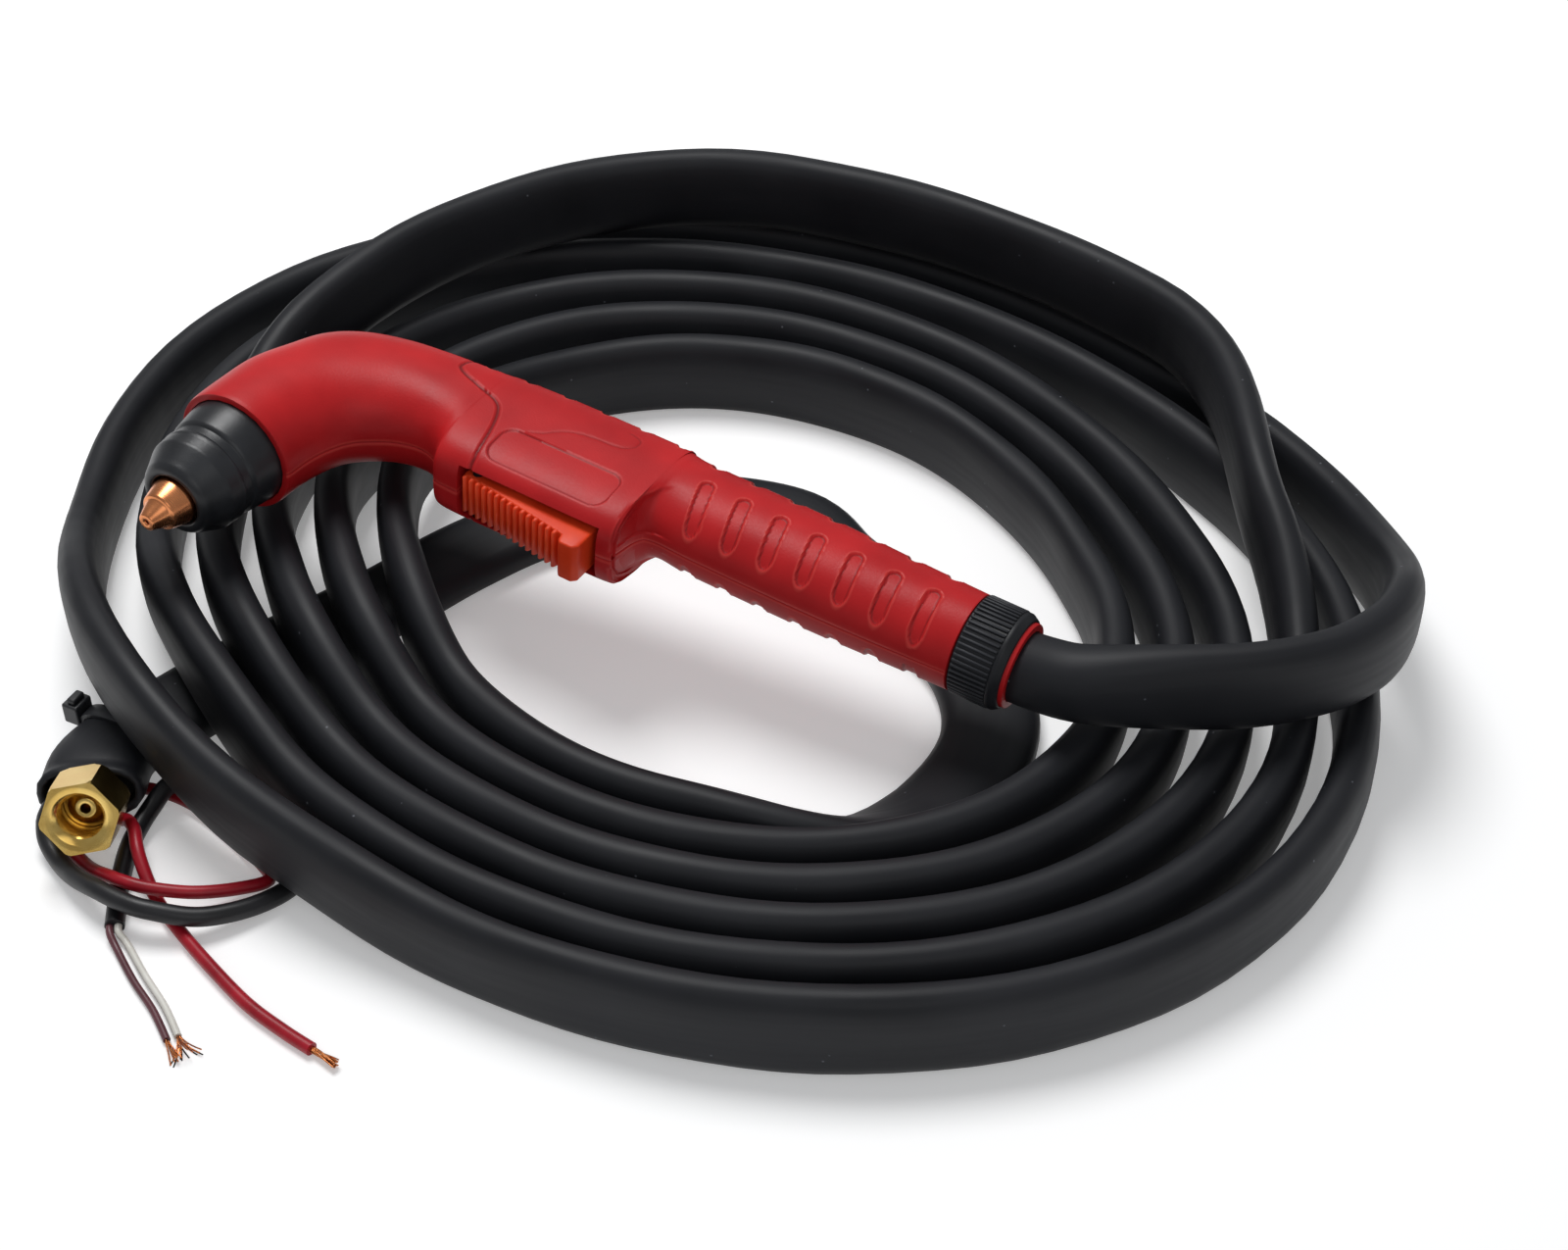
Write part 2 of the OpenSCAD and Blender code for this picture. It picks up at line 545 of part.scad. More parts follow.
function turn_angle(s) = coil_start + 360 * s;
function raised(s) = s < 1.9 || s > 2.6 ? 0 : smooth((s - 1.93) / 0.09) - smooth((s - 2.36) / 0.14);
function swung(s) = s < 1.9 || s > 2.6 ? 0 : raise_swing * (smooth((s - 1.995) / 0.105) - smooth((s - 2.23) / 0.16));
function bulged(s) = abs(s - 0.56) > 0.12 ? 0 : bulge * pow(cos(90 * (s - 0.56) / 0.12), 2);
function closing(s) = s < 2.75 ? 0 : close_up * pow(max(0, cos(turn_angle(s) - 125)), 1.5);
function slack(s) = s < 5.78 ? 0 : slack_depth * pow(sin(180 * min(1, (s - 5.78) / 0.7)), 2);
function coil_xy(s) = let (w = turn_angle(s), e = s - closing(s) - swung(s), a = coil_long - coil_step[0] * e,
    b = coil_short - coil_step[1] * e,
    r = (1 - coil_skew * sin(2 * w)) / norm([cos(w) / a, sin(w) / b]) + bulged(s) - slack(s))
    coil_centre + coil_drift * s + r * [cos(w), sin(w)];
function rolled(s) = 90 * smooth((s - 5.72) / 0.16);

// The tail runs flat under the turns and out past the outermost one.
tail_route = [[112, 110.5], [90, 106], [66, 92], [48, 73], [37, 49], [30, 24], [22, 0], [14, -22], [9, -42]];
tail_lift = [[7.3, -49, 5], [7.2, -55, 6.8], [7.3, -60, 7.3], [8.2, -66, 8.6], [10.2, -71.8, 9.6]];
function segment_distance(p, a, b) = let (v = b - a, t = max(0, min(1, (p - a) * v / (v * v))))
    norm(p - a - v * t);
function tail_distance(p) = min([for (i = [0:len(tail_route) - 2])
    segment_distance(p, tail_route[i], tail_route[i + 1])]);
// Turns ride over the tail, the outermost one higher, and it clears the wires as well.
tail_top = sheath_thick - lean_cut;
hump_inner = tail_top + 2 * lean_cut + seat_gap;
hump_outer = hump_inner + pilot_d + lean_cut + 2 * seat_gap;
wires_x = [24, 84];
hump_wires = control_d + lean_cut + 2 * seat_gap;
function beside(x, a, b) = smooth((x - a + 20) / 18) * smooth((b + 20 - x) / 18);
function humped(s, p) = s > 5.75 ? 0 : s > 1.1 ? hump_inner * smooth((56 - tail_distance(p)) / 34)
    : max(hump_outer * smooth((64 - tail_distance(p)) / 34),
        p[1] < 0 ? hump_wires * beside(p[0], wires_x[0], wires_x[1]) : 0);
function coil_point(s) = let (p = coil_xy(s), z = mix(upright_z, lying_z, rolled(s) / 90))
    [p[0], p[1], z + raise_height * raised(s) + humped(s, p)];
function coil_dir(s) = coil_point(s + 0.004) - coil_point(s - 0.004);

turn_rings = 24;
coil_rings = round((coil_turns - first_turn) * turn_rings);
function ring_turn(i) = first_turn + (coil_turns - first_turn) * i / coil_rings;
coil_section = sheath_section(6, sheath_width, sheath_thick);
coil_skin = [for (i = [0:coil_rings]) let (s = ring_turn(i))
    place_section(coil_point(s), coil_dir(s), rolled(s), coil_section)];

// Least gap between one turn and another, from the corners of each ring to the
// sides of the rings beside it, one or more turns further in.
function side_gap(p, ring) = min([for (k = [0:5]) let (a = ring[k], b = ring[(k + 1) % 6], v = b - a,
    t = max(0, min(1, (p - a) * v / (v * v)))) norm(p - a - v * t)]);
function ring_gap(a, b) = min(min([for (p = a) side_gap(p, b)]), min([for (p = b) side_gap(p, a)]));
coil_gap = min([for (i = [0:coil_rings], j = [i + turn_rings:turn_rings:coil_rings])
    ring_gap(coil_skin[i], coil_skin[j])]);
echo(least_gap_between_turns = coil_gap);

module on_surface() {
    intersection() {
        children();
        translate([-200, -200, floor_z]) cube([700, 600, 200]);
    }
}
module lead_coil() {
    color(rubber_black) on_surface() skin(coil_skin);
}

function spline(pts, i, t) = let (n = len(pts) - 1)
    curve4(pts[max(i - 1, 0)], pts[i], pts[min(i + 1, n)], pts[min(i + 2, n)], t);
function spline_dir(pts, i, t) = spline(pts, i, min(1, t + 0.02)) - spline(pts, i, max(0, t - 0.02));

module lead_tail() {
    end = coil_point(coil_turns);
    start_dir = unit(coil_dir(coil_turns));
    route = concat([end, end + start_dir * sheath_thick],
        [for (p = tail_route) [p[0], p[1], lying_z]],
        [for (p = tail_lift) [p[0], p[1], floor_z + p[2]]], [mouth - lead_axis * 5, mouth]);
    n = len(route) - 1;
    rings = [for (i = [0:n]) let (d = i == 0 ? start_dir : i >= n - 1 ? lead_axis
        : route[i + 1] - route[i - 1], t = i < n - 2 ? sheath_thick : mix(sheath_thick, mouth_thick, (i - n + 3) / 3))
        place_section(route[i], d, 90, sheath_section(8, mix(sheath_width, mouth_width, i == n ? 1 : 0), t))];
    color(rubber_black) on_surface() skin(rings);
}

// The lead leaves the collar, rides over the turns, drops outside them and joins the coil.
rise_route = [[224, 51, -17.6], [232, 53, -16.8], [240, 56.6, -16.6], [250, 62, -16.5], [262, 69.6, -16.5],
    [273, 79, -16.5], [281.5, 90, -16.8], [286, 104, -18.2], [285.8, 119, -21.6], [281.5, 135, -29],
    [273.4, 152, -36.5], [261.4, 168.4, -42], [246, 183, -44.6], [229, 194.5, -45], [211, 203.6, -45.1]];
function torch_point(x, y, z) = [x * cos(torch_pitch) + z * sin(torch_pitch), y,
    z * cos(torch_pitch) - x * sin(torch_pitch)];
module lead_rise() {
    exit_dir = torch_point(1, 0, 0);
    entry = coil_point(first_turn);
    entry_dir = unit(coil_dir(first_turn));
    inside = [for (x = [lead_x0, clamp_x + clamp_len + 1, clamp_x + clamp_len + 7, collar_x1 + 2])
        torch_point(x, axis_y, 0)];
    route = concat(inside, rise_route, [entry - entry_dir * sheath_thick, entry]);
    n = len(route) - 1;
    rings = [for (i = [0:n]) let (d = i <= 3 ? exit_dir : i >= n - 1 ? entry_dir : route[i + 1] - route[i - 1],
        f = smooth((i - 3) / 5), w = i < 2 ? gripped_d : mix(sheath_d, sheath_width, f),
        t = i < 2 ? gripped_d : mix(sheath_d, sheath_thick, f))
        place_section(route[i], d, 0, sheath_section(10, w, min(t, w - 0.01)))];
    color(rubber_black) on_surface() skin(rings);
}

// ---------- lead end ----------
// The union nut looks out of the sheath's mouth, tilted up.
nut_front = [26.5, -95.5, floor_z + 19];
nut_yaw = -57.5;
nut_rise = 23;
nut_turn = 39;                    // how far the hexagon is turned about the nut's axis
lead_axis = [cos(nut_yaw) * cos(nut_rise), sin(nut_yaw) * cos(nut_rise), sin(nut_rise)];
lead_side = [sin(nut_yaw), -cos(nut_yaw), 0];
lead_up = cross(lead_side, lead_axis);
nut_standoff = 5;
nut_back = nut_front - lead_axis * nut_length;
nut_shift = 1.5;                  // the nut sits this far from the middle of the mouth
mouth = nut_back - lead_axis * nut_standoff + lead_side * nut_shift;
mouth_width = sheath_width + 1;
mouth_thick = sheath_thick + 3;
function at_mouth(side, up, out = 0) = mouth + lead_side * side + lead_up * up + lead_axis * out;
module on_nut_axis(out = 0) {
    translate(nut_back + lead_axis * out) rotate([0, 0, nut_yaw]) rotate([0, 90 - nut_rise, 0]) children();
}

nut_seat = 3;                     // thickness of the nut's back wall
nut_relief = 4;                   // unthreaded room for the nipple's head
stem_d = nut_bore - 4.4;
module union_nut() {
    color(brass) on_nut_axis() difference() {
        intersection() {
            rotate(nut_turn) cylinder(d = nut_af / cos(30), h = nut_length, $fn = 6);
            cylinder(r1 = nut_af / 2 + 4.5, r2 = nut_af / 2 + 0.4, h = nut_length);
            cylinder(r1 = nut_af / 2 + 0.6, r2 = nut_af / 2 + 8, h = nut_length);
        }
        translate([0, 0, -1]) cylinder(d = stem_d + 4 * fit, h = nut_length + 2);
        translate([0, 0, nut_seat]) cylinder(d = nut_bore + 1.2, h = nut_relief);
        translate([0, 0, nut_seat]) cylinder(d = nut_bore, h = nut_length);
        translate([0, 0, nut_length - 1]) cylinder(d1 = nut_bore, d2 = nut_bore + 2.4, h = 1.2);
    }
}
module hose_nipple() {
    color(brass) on_nut_axis(-nut_standoff) difference() {
        union() {
            cylinder(d = stem_d + 3, h = nut_standoff - seat_gap);
            cylinder(d = stem_d, h = nut_standoff + nut_seat + 1);
            translate([0, 0, nut_standoff + nut_seat + fit]) cylinder(d = nut_bore - 1.2, h = 1);
            translate([0, 0, nut_standoff + nut_seat + fit + 1])
                cylinder(d1 = nut_bore - 1.2, d2 = stem_d - 1.4, h = 2.6);
        }
        translate([0, 0, 1]) cylinder(d = 2.6, h = 30);
    }
}

tie_place = [7.2, -57.5, floor_z + 7.1];
tie_turn = -86;
module stadium(w, t) { hull() for (k = [-1, 1]) translate([0, k * (w - t) / 2]) circle(d = t, $fn = 24); }
module cable_tie() {
    color("#1b1c1e") translate(tie_place) rotate([0, 0, tie_turn]) rotate([90, 0, 90]) {
        translate([0, 0, -2.3]) linear_extrude(4.6) rotate(90) difference() {
            stadium(sheath_width + 3, sheath_thick + 3);
            stadium(sheath_width + 2 * seat_gap, sheath_thick + 2 * seat_gap);
        }
        translate([-sheath_width / 2 - 5.6, 0.5, -3.2]) cube([5, 6.2, 6.4]);
    }
}

// ---------- wires ----------
// Heights in these routes are measured from the surface.
control_route = [[9.9, -92.2, 7.4], [12, -94.8, 5], [15.8, -97, 3.4], [21.7, -99.6, 3.4], [29, -102.3, 5.6],
    [37, -104, 7.8], [46, -104.4, 8.2], [53, -103, 7.8], [63, -97.5, 5.6], [70, -88, 3.6], [74, -78, 2.7],
    [73.5, -71, 2.7], [66, -67, 2.7], [54, -63, 2.7], [42, -60, 3.6], [33, -60.5, 6.2], [28, -66, 7],
    [27.4, -73, 4.6], [28.3, -80, 2.8], [31.4, -87.4, 2.7], [37, -96.6, 2.7], [41.5, -102.8, 2.7]];
control_end = [45.4, -108.1, 2.7];
pilot_route = [[14.8, -89.6, 4.6], [16.4, -91.8, 2.6], [18.8, -93.4, 1.9], [22, -94.4, 1.9], [26, -95.8, 2.6],
    [30.5, -97.2, 4.4], [35.5, -98.2, 6.4], [40.5, -98.6, 7.5], [47.5, -97, 7.2], [57, -91.5, 5.6],
    [64.5, -83, 3.4], [67.5, -76, 1.9], [60, -72, 1.9], [48, -68, 1.9], [37, -65.5, 1.9], [28, -65, 1.9],
    [19.5, -66.5, 1.9], [13.8, -70.5, 1.9], [13.6, -75.6, 1.9], [18.4, -79.2, 2], [22.4, -79.4, 3.1],
    [26.2, -80.5, 5.7], [31.8, -83.9, 8.1], [36, -87.9, 8.1], [39.8, -90.9, 6.4], [45.2, -94.3, 3.6], [50.6, -97, 1.9],
    [58, -100.2, 1.9], [71, -105.2, 1.9], [88, -110.8, 1.9], [101, -113.2, 1.9]];
pilot_end = [110.5, -114.3, 1.9];
brown_route = [[50, -112.8, 1.3], [60, -118.4, 1.1], [70, -123.1, 1.1]];
brown_end = [79, -128.6, 1.1];
white_route = [[51, -110.2, 1.3], [61.4, -115.8, 1.1], [71.8, -120.9, 1.1]];
white_end = [80.5, -126.4, 1.1];
function lifted(pts) = [for (p = pts) [p[0], p[1], p[2] + floor_z]];
function wire_rings(pts, d, sides, first, last) = let (n = len(pts) - 1) [for (i = [0:n])
    let (t = i == 0 ? first : i == n ? last : unit(pts[i + 1] - pts[i - 1]), s = unit([t[1], -t[0], 0]),
        u = cross(s, t)) [for (k = [0:sides - 1]) let (a = 360 * (k + 0.5) / sides)
            pts[i] + d / 2 * (s * cos(a) + u * sin(a))]];
module wire(pts, d, first, last) {
    skin(wire_rings(pts, d, 8, first == undef ? unit(pts[1] - pts[0]) : first,
        last == undef ? unit(pts[len(pts) - 1] - pts[len(pts) - 2]) : last));
}
function end_dir(route, end) = unit(end - route[len(route) - 1]);
control_dir = end_dir(control_route, control_end);
core_side = unit([-control_dir[1], control_dir[0], 0]) * (core_d / 2 + 0.1);
jacket_end = [control_end[0], control_end[1], control_end[2] + floor_z];
module control_cable() {
    start = at_mouth(9.6, -3.4);
    color("#232326") wire(concat([start, start + lead_axis * 2.6], lifted(concat(control_route, [control_end]))),
        control_d, lead_axis);
}
module core(side, route, end) {
    start = jacket_end + core_side * side;
    wire(concat([start, start + control_dir * core_d], lifted(concat(route, [end]))), core_d, control_dir);
}
module core_brown() { color("#5a2f38") core(-1, brown_route, brown_end); }
module core_white() { color("#e6e4de") core(1, white_route, white_end); }
module pilot_wire() {
    start = at_mouth(4.6, -4.9);
    color("#a51c2b") wire(concat([start, start + lead_axis * 2], lifted(concat(pilot_route, [pilot_end]))),
        pilot_d, lead_axis);
}
bared = 6;                        // length of the bared strands
module bare_strands(route, end, d, long) {
    t = end_dir(route, end);
    translate([end[0], end[1], end[2] + floor_z]) rotate([0, 0, atan2(t[1], t[0])]) rotate([0, 90, 0])
        cylinder(d1 = d, d2 = d * 1.15, h = long, $fn = 16);
}
module copper_ends() {
    color(copper) {
        bare_strands(brown_route, brown_end, core_d - 0.6, bared);
        bare_strands(white_route, white_end, core_d - 0.6, bared);
        bare_strands(pilot_route, pilot_end, pilot_d - 1.2, bared);
    }
}

shell_upper();
shell_lower();
shell_screws();
head_body();
power_tube();
power_hose();
swirl_ring();
electrode();
hafnium_insert();
nozzle_tip();
shield_cap();
cap_o_ring();
trigger();
trigger_pin();
trigger_spring();
switch_body();
switch_plunger();
rear_collar();
cable_clamp();
lead_rise();
lead_coil();
lead_tail();
cable_tie();
hose_nipple();
union_nut();
control_cable();
core_brown();
core_white();
pilot_wire();
copper_ends();
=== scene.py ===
import math

import bmesh
import bpy
import numpy as np
from mathutils import Matrix, Vector


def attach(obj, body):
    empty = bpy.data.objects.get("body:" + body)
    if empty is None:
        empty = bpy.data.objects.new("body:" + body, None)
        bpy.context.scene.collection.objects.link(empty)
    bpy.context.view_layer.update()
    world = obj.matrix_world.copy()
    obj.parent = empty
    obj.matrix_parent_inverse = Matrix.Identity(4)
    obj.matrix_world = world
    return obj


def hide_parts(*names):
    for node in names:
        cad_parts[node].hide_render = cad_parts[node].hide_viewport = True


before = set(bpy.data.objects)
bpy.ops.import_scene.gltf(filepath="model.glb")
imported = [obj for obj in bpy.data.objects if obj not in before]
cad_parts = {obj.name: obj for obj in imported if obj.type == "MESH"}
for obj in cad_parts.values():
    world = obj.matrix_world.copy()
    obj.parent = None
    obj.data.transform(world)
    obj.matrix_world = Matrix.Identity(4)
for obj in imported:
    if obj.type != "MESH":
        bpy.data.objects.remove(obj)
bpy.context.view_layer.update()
print("frame loaded:", len(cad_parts), "nodes")

mm = 0.001


# small maths
def smooth(t):
    t = np.clip(t, 0.0, 1.0)
    return t * t * (3 - 2 * t)


def mix(a, b, t):
    return a + (b - a) * t


def unit(v):
    v = np.asarray(v, float)
    return v / np.linalg.norm(v, axis=-1, keepdims=True)


def signedPower(v, e):
    return np.sign(v) * np.abs(v) ** e


def curve4(a, b, c, d, t):
    return 0.5 * (2 * b + (c - a) * t + (2 * a - 5 * b + 4 * c - d) * t ** 2
                  + (3 * b - a - 3 * c + d) * t ** 3)


def throughPoints(points, steps):
    p = np.asarray(points, float)
    n = len(p) - 1
    out = [curve4(p[max(i - 1, 0)], p[i], p[i + 1], p[min(i + 2, n)], k / steps)
           for i in range(n) for k in range(steps)]
    return np.array(out + [p[n]])


def evenly(rows, step):  # the rows of a path again, at even distances along it
    run = np.concatenate([[0], np.cumsum(np.linalg.norm(np.diff(rows[:, :3], axis=0), axis=1))])
    at = np.linspace(0, run[-1], max(4, int(round(run[-1] / step))))
    return np.stack([np.interp(at, run, rows[:, k]) for k in range(rows.shape[1])], 1), run[-1]


def distanceToPath(xy, path):
    best = np.full(xy.shape[:-1], 1e9)
    for a, b in zip(path[:-1], path[1:]):
        a, b = np.asarray(a, float), np.asarray(b, float)
        t = np.clip(((xy - a) @ (b - a)) / ((b - a) @ (b - a)), 0, 1)
        best = np.minimum(best, np.linalg.norm(xy - a - t[..., None] * (b - a), axis=-1))
    return best


def rounded(points, radius, steps=4):  # corners of an outline become arcs
    p = [np.asarray(q, float) for q in points]
    out = [p[0]]
    for a, b, c in zip(p[:-2], p[1:-1], p[2:]):
        la, lc = np.linalg.norm(a - b), np.linalg.norm(c - b)
        cut = min(radius, 0.45 * la, 0.45 * lc)
        s, e = b + (a - b) * cut / la, b + (c - b) * cut / lc
        out += [(1 - t) ** 2 * s + 2 * t * (1 - t) * b + t ** 2 * e for t in np.linspace(0, 1, steps + 1)]
    return np.array(out + [p[-1]])


# the torch's own frame, as the solids have it
torch = {"pitch": 5.5, "axisY": 53.0, "gripEnd": 196.0, "collarLength": 14.5, "housingY": 25.5,
         "floorZ": -57.0}
collarEnd = torch["gripEnd"] + torch["collarLength"]
torchPose = Matrix.Rotation(math.radians(torch["pitch"]), 4, "Y")
alongNozzle = torchPose @ Matrix.Rotation(math.radians(90), 4, "X")


def alongHandle(x):
    return torchPose @ Matrix.Translation((x, torch["axisY"], 0)) @ Matrix.Rotation(math.radians(90), 4, "Y")


def torchPoint(x, y, z):
    return np.array(torchPose @ Vector((x, y, z)))


def inScene(name, data):
    made = bpy.data.objects.new(name, data)
    bpy.context.scene.collection.objects.link(made)
    return made


# camera
camera = {"place": (0.3991, -0.3943, 0.405), "down": 40.5, "turn": 30.0, "lens": 58.5}
cameraData = bpy.data.cameras.new("camera")
cameraData.sensor_width = 36
cameraData.lens = camera["lens"]
cameraData.clip_start = 0.01
cameraObject = inScene("camera", cameraData)
cameraObject.location = camera["place"]
cameraObject.rotation_euler = (math.radians(90 - camera["down"]), 0, math.radians(camera["turn"]))
bpy.context.scene.camera = cameraObject
print("camera set")


# meshes
def meshPiece(name, points, faces, pose=None, uv=None, sharp=35):
    mesh = bpy.data.meshes.new(name)
    mesh.from_pydata([tuple(p) for p in np.asarray(points).tolist()], [], faces)
    if uv is not None:
        layer = mesh.uv_layers.new(name="UVMap")
        layer.data.foreach_set("uv", np.asarray(uv, np.float32).ravel())
    work = bmesh.new()
    work.from_mesh(mesh)
    bmesh.ops.recalc_face_normals(work, faces=work.faces)
    work.to_mesh(mesh)
    work.free()
    if pose is not None:
        mesh.transform(Matrix.Diagonal((mm, mm, mm, 1)) @ pose)
    mesh.shade_smooth()
    mesh.set_sharp_from_angle(angle=math.radians(sharp))
    return inScene(name, mesh)


def ringGrid(name, rings, pose=None, loop=False, across=None, along=None, sharp=35):
    rings = np.asarray(rings, float)
    m, n = rings.shape[:2]
    rows = m if loop else m - 1
    i, j = [g.ravel() for g in np.meshgrid(np.arange(rows), np.arange(n), indexing="ij")]
    i2, j2 = (i + 1) % m, (j + 1) % n
    faces = np.stack([i * n + j, i * n + j2, i2 * n + j2, i2 * n + j], 1).tolist()
    u = np.arange(n + 1) / n * (across or 1.0)
    v = np.asarray(along, float) if along is not None else np.arange(rows + 1) * mm
    uAt, vAt = np.stack([u[j], u[j + 1], u[j + 1], u[j]], 1), np.stack([v[i], v[i], v[i + 1], v[i + 1]], 1)
    uv = np.stack([uAt, vAt], 2).reshape(-1, 2)
    if not loop:  # a flat face closes each end
        faces += [list(range(n))[::-1], list(range((m - 1) * n, m * n))]
        angle = np.linspace(0, 2 * math.pi, n, endpoint=False)
        disc = np.stack([np.cos(angle), np.sin(angle)], 1) * 0.002
        uv = np.concatenate([uv, disc[::-1], disc])
    return meshPiece(name, rings.reshape(-1, 3), faces, pose, uv, sharp)


def lathe(name, profile, pose, segments=96, loop=True, shape=None, sharp=35):
    profile = np.asarray(profile, float)
    angle = np.linspace(0, 2 * math.pi, segments, endpoint=False)
    r = profile[:, 0][:, None] * np.ones(segments)
    if shape is not None:
        r = shape(profile, angle)
    rings = np.stack([r * np.cos(angle), r * np.sin(angle), profile[:, 1][:, None] * np.ones(segments)], 2)
    closed = np.vstack([profile, profile[:1]])
    run = np.concatenate([[0], np.cumsum(np.linalg.norm(np.diff(closed, axis=0), axis=1))])
    return ringGrid(name, rings, pose, loop=loop, across=2 * math.pi * profile[:, 0].max() * mm,
                    along=run[:len(profile) + (1 if loop else 0)] * mm, sharp=sharp)


def bevelled(piece, width, segments):
    bevel = piece.modifiers.new("bevel", "BEVEL")
    bevel.width = width
    bevel.segments = segments
    bevel.limit_method = "ANGLE"
    bevel.angle_limit = math.radians(30)
    return plain(piece)


def plain(piece):  # what the modifiers make, as a plain mesh
    graph = bpy.context.evaluated_depsgraph_get()
    graph.update()
    made = bpy.data.meshes.new_from_object(piece.evaluated_get(graph), preserve_all_data_layers=True,
                                           depsgraph=graph)
    piece.modifiers.clear()
    made.name = piece.data.name
    piece.data = made
    return piece


def posed(piece, pose):  # from torch millimetres to metres
    piece.data.transform(Matrix.Diagonal((mm, mm, mm, 1)) @ pose)
    return piece


# node trees
def add(tree, kind, inputs=None, **settings):  # a node among the inputs is linked by its first output
    made = tree.nodes.new(kind)
    for name, value in settings.items():
        setattr(made, name, value)
    for key, value in (inputs or {}).items():
        if isinstance(value, bpy.types.Node):
            value = value.outputs[0]
        if isinstance(value, bpy.types.NodeSocket):
            tree.links.new(value, made.inputs[key])
        else:
            made.inputs[key].default_value = value
    return made


def newTree(name, **inputs):
    tree = bpy.data.node_groups.new(name, "GeometryNodeTree")
    tree.interface.new_socket("Geometry", in_out="INPUT", socket_type="NodeSocketGeometry")
    tree.interface.new_socket("Geometry", in_out="OUTPUT", socket_type="NodeSocketGeometry")
    for label, kind in inputs.items():
        tree.interface.new_socket(label, in_out="INPUT", socket_type="NodeSocket" + kind)
    entry = add(tree, "NodeGroupInput")
    return tree, entry.outputs


def endTree(tree, geometry, material):
    whole = add(tree, "GeometryNodeRealizeInstances", {0: geometry})
    coated = add(tree, "GeometryNodeSetMaterial", {"Geometry": whole, "Material": material})
    add(tree, "NodeGroupOutput", {0: coated})


def runTree(piece, tree, **values):
    grown = piece.modifiers.new(tree.name, "NODES")
    grown.node_group = tree
    for item in tree.interface.items_tree:
        if item.item_type == "SOCKET" and item.in_out == "INPUT" and item.name in values:
            grown[item.identifier] = values[item.name]
    return plain(piece)


def emptyPiece(name):
    return inScene(name, bpy.data.meshes.new(name))


def declare(piece, body, slot, material, *nodes):
    if material:
        piece.data.materials.clear()
        piece.data.materials.append(material)
    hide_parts(*nodes)
    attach(piece, body)


# finishes
def colour(hexCode):
    parts = [int(hexCode[i:i + 2], 16) / 255 for i in (1, 3, 5)]
    return (*[c / 12.92 if c <= 0.04045 else ((c + 0.055) / 1.055) ** 2.4 for c in parts], 1.0)


# patch, grain and relief are millimetres; the tuple of edge and groove colours holds the colour and strength
# of the lighter edges, partly rubbed wear and partly painted highlight, and the colour of the painted shade
# in the grooves;
# specks holds a colour, the millimetres between specks and how few of them show
def finish(name, light, dark, patch, grain, relief, rough, metallic=0.0, drawn=None, rubAndPaintedLight=None, specks=None,
           gloss=0.5):
    made = bpy.data.materials.new(name)
    made.use_nodes = True
    tree = made.node_tree
    shader = tree.nodes["Principled BSDF"]
    shader.inputs["Metallic"].default_value = metallic
    shader.inputs["Specular IOR Level"].default_value = gloss
    place = add(tree, "ShaderNodeTexCoord")
    at = place.outputs["Object"]
    if drawn:  # the pattern is drawn out along the piece's own UV, in metres
        stretch = (1 / (drawn[0] * mm), 1 / (drawn[1] * mm), 1)
        at = add(tree, "ShaderNodeMapping", {"Vector": place.outputs["UV"], "Scale": stretch})
    broad = add(tree, "ShaderNodeTexNoise", {"Vector": place.outputs["Object"], "Scale": 1 / (patch * mm),
                                             "Detail": 3.0, "Roughness": 0.55})
    fineScale = 1.0 if drawn else 1 / (grain * mm)
    fine = add(tree, "ShaderNodeTexNoise", {"Vector": at, "Scale": fineScale, "Detail": 2.0})
    tone = add(tree, "ShaderNodeMapRange", {"Value": broad, 1: 0.3, 2: 0.7})
    base = add(tree, "ShaderNodeMix", {0: tone, 6: colour(dark), 7: colour(light)}, data_type="RGBA")
    surface = base.outputs[2]
    # above zero the attribute lightens edges, partly rubbed wear and partly painted highlight; below zero it
    # darkens grooves and recess walls as painted shade
    if rubAndPaintedLight:
        edge = add(tree, "ShaderNodeAttribute", attribute_name="wear")
        spread = add(tree, "ShaderNodeMapRange", {"Value": edge.outputs["Fac"], 1: 0.15, 2: 1.0, 4: rubAndPaintedLight[1]})
        surface = add(tree, "ShaderNodeMix", {0: spread, 6: surface, 7: colour(rubAndPaintedLight[0])},
                      data_type="RGBA").outputs[2]
        paintedGrooveShade = add(tree, "ShaderNodeMapRange", {"Value": edge.outputs["Fac"], 1: -0.1, 2: -1.0, 4: 0.75})
        surface = add(tree, "ShaderNodeMix", {0: paintedGrooveShade, 6: surface, 7: colour(rubAndPaintedLight[2])},
                      data_type="RGBA").outputs[2]
    if specks:  # sparse dust caught in the surface
        cells = add(tree, "ShaderNodeTexVoronoi", {"Vector": place.outputs["Object"],
                                                   "Scale": 1 / (specks[1] * mm)})
        chosen = add(tree, "ShaderNodeMath", {0: cells.outputs["Color"], 1: specks[2]},
                     operation="GREATER_THAN")
        near = add(tree, "ShaderNodeMapRange", {"Value": cells.outputs["Distance"], 1: 0.02, 2: 0.12,
                                                3: 1.0, 4: 0.0})
        spot = add(tree, "ShaderNodeMath", {0: chosen, 1: near}, operation="MULTIPLY")
        surface = add(tree, "ShaderNodeMix", {0: spot, 6: surface, 7: colour(specks[0])},
                      data_type="RGBA").outputs[2]
    tree.links.new(surface, shader.inputs["Base Color"])
    mixed = add(tree, "ShaderNodeMath", {0: broad, 1: fine}, operation="ADD")
    spread = add(tree, "ShaderNodeMapRange", {"Value": mixed, 1: 0.6, 2: 1.4, 3: rough[0], 4: rough[1]})
    tree.links.new(spread.outputs[0], shader.inputs["Roughness"])
    bump = add(tree, "ShaderNodeBump", {"Height": fine, "Strength": 1.0, "Distance": relief * mm})
    tree.links.new(bump.outputs[0], shader.inputs["Normal"])
    return made
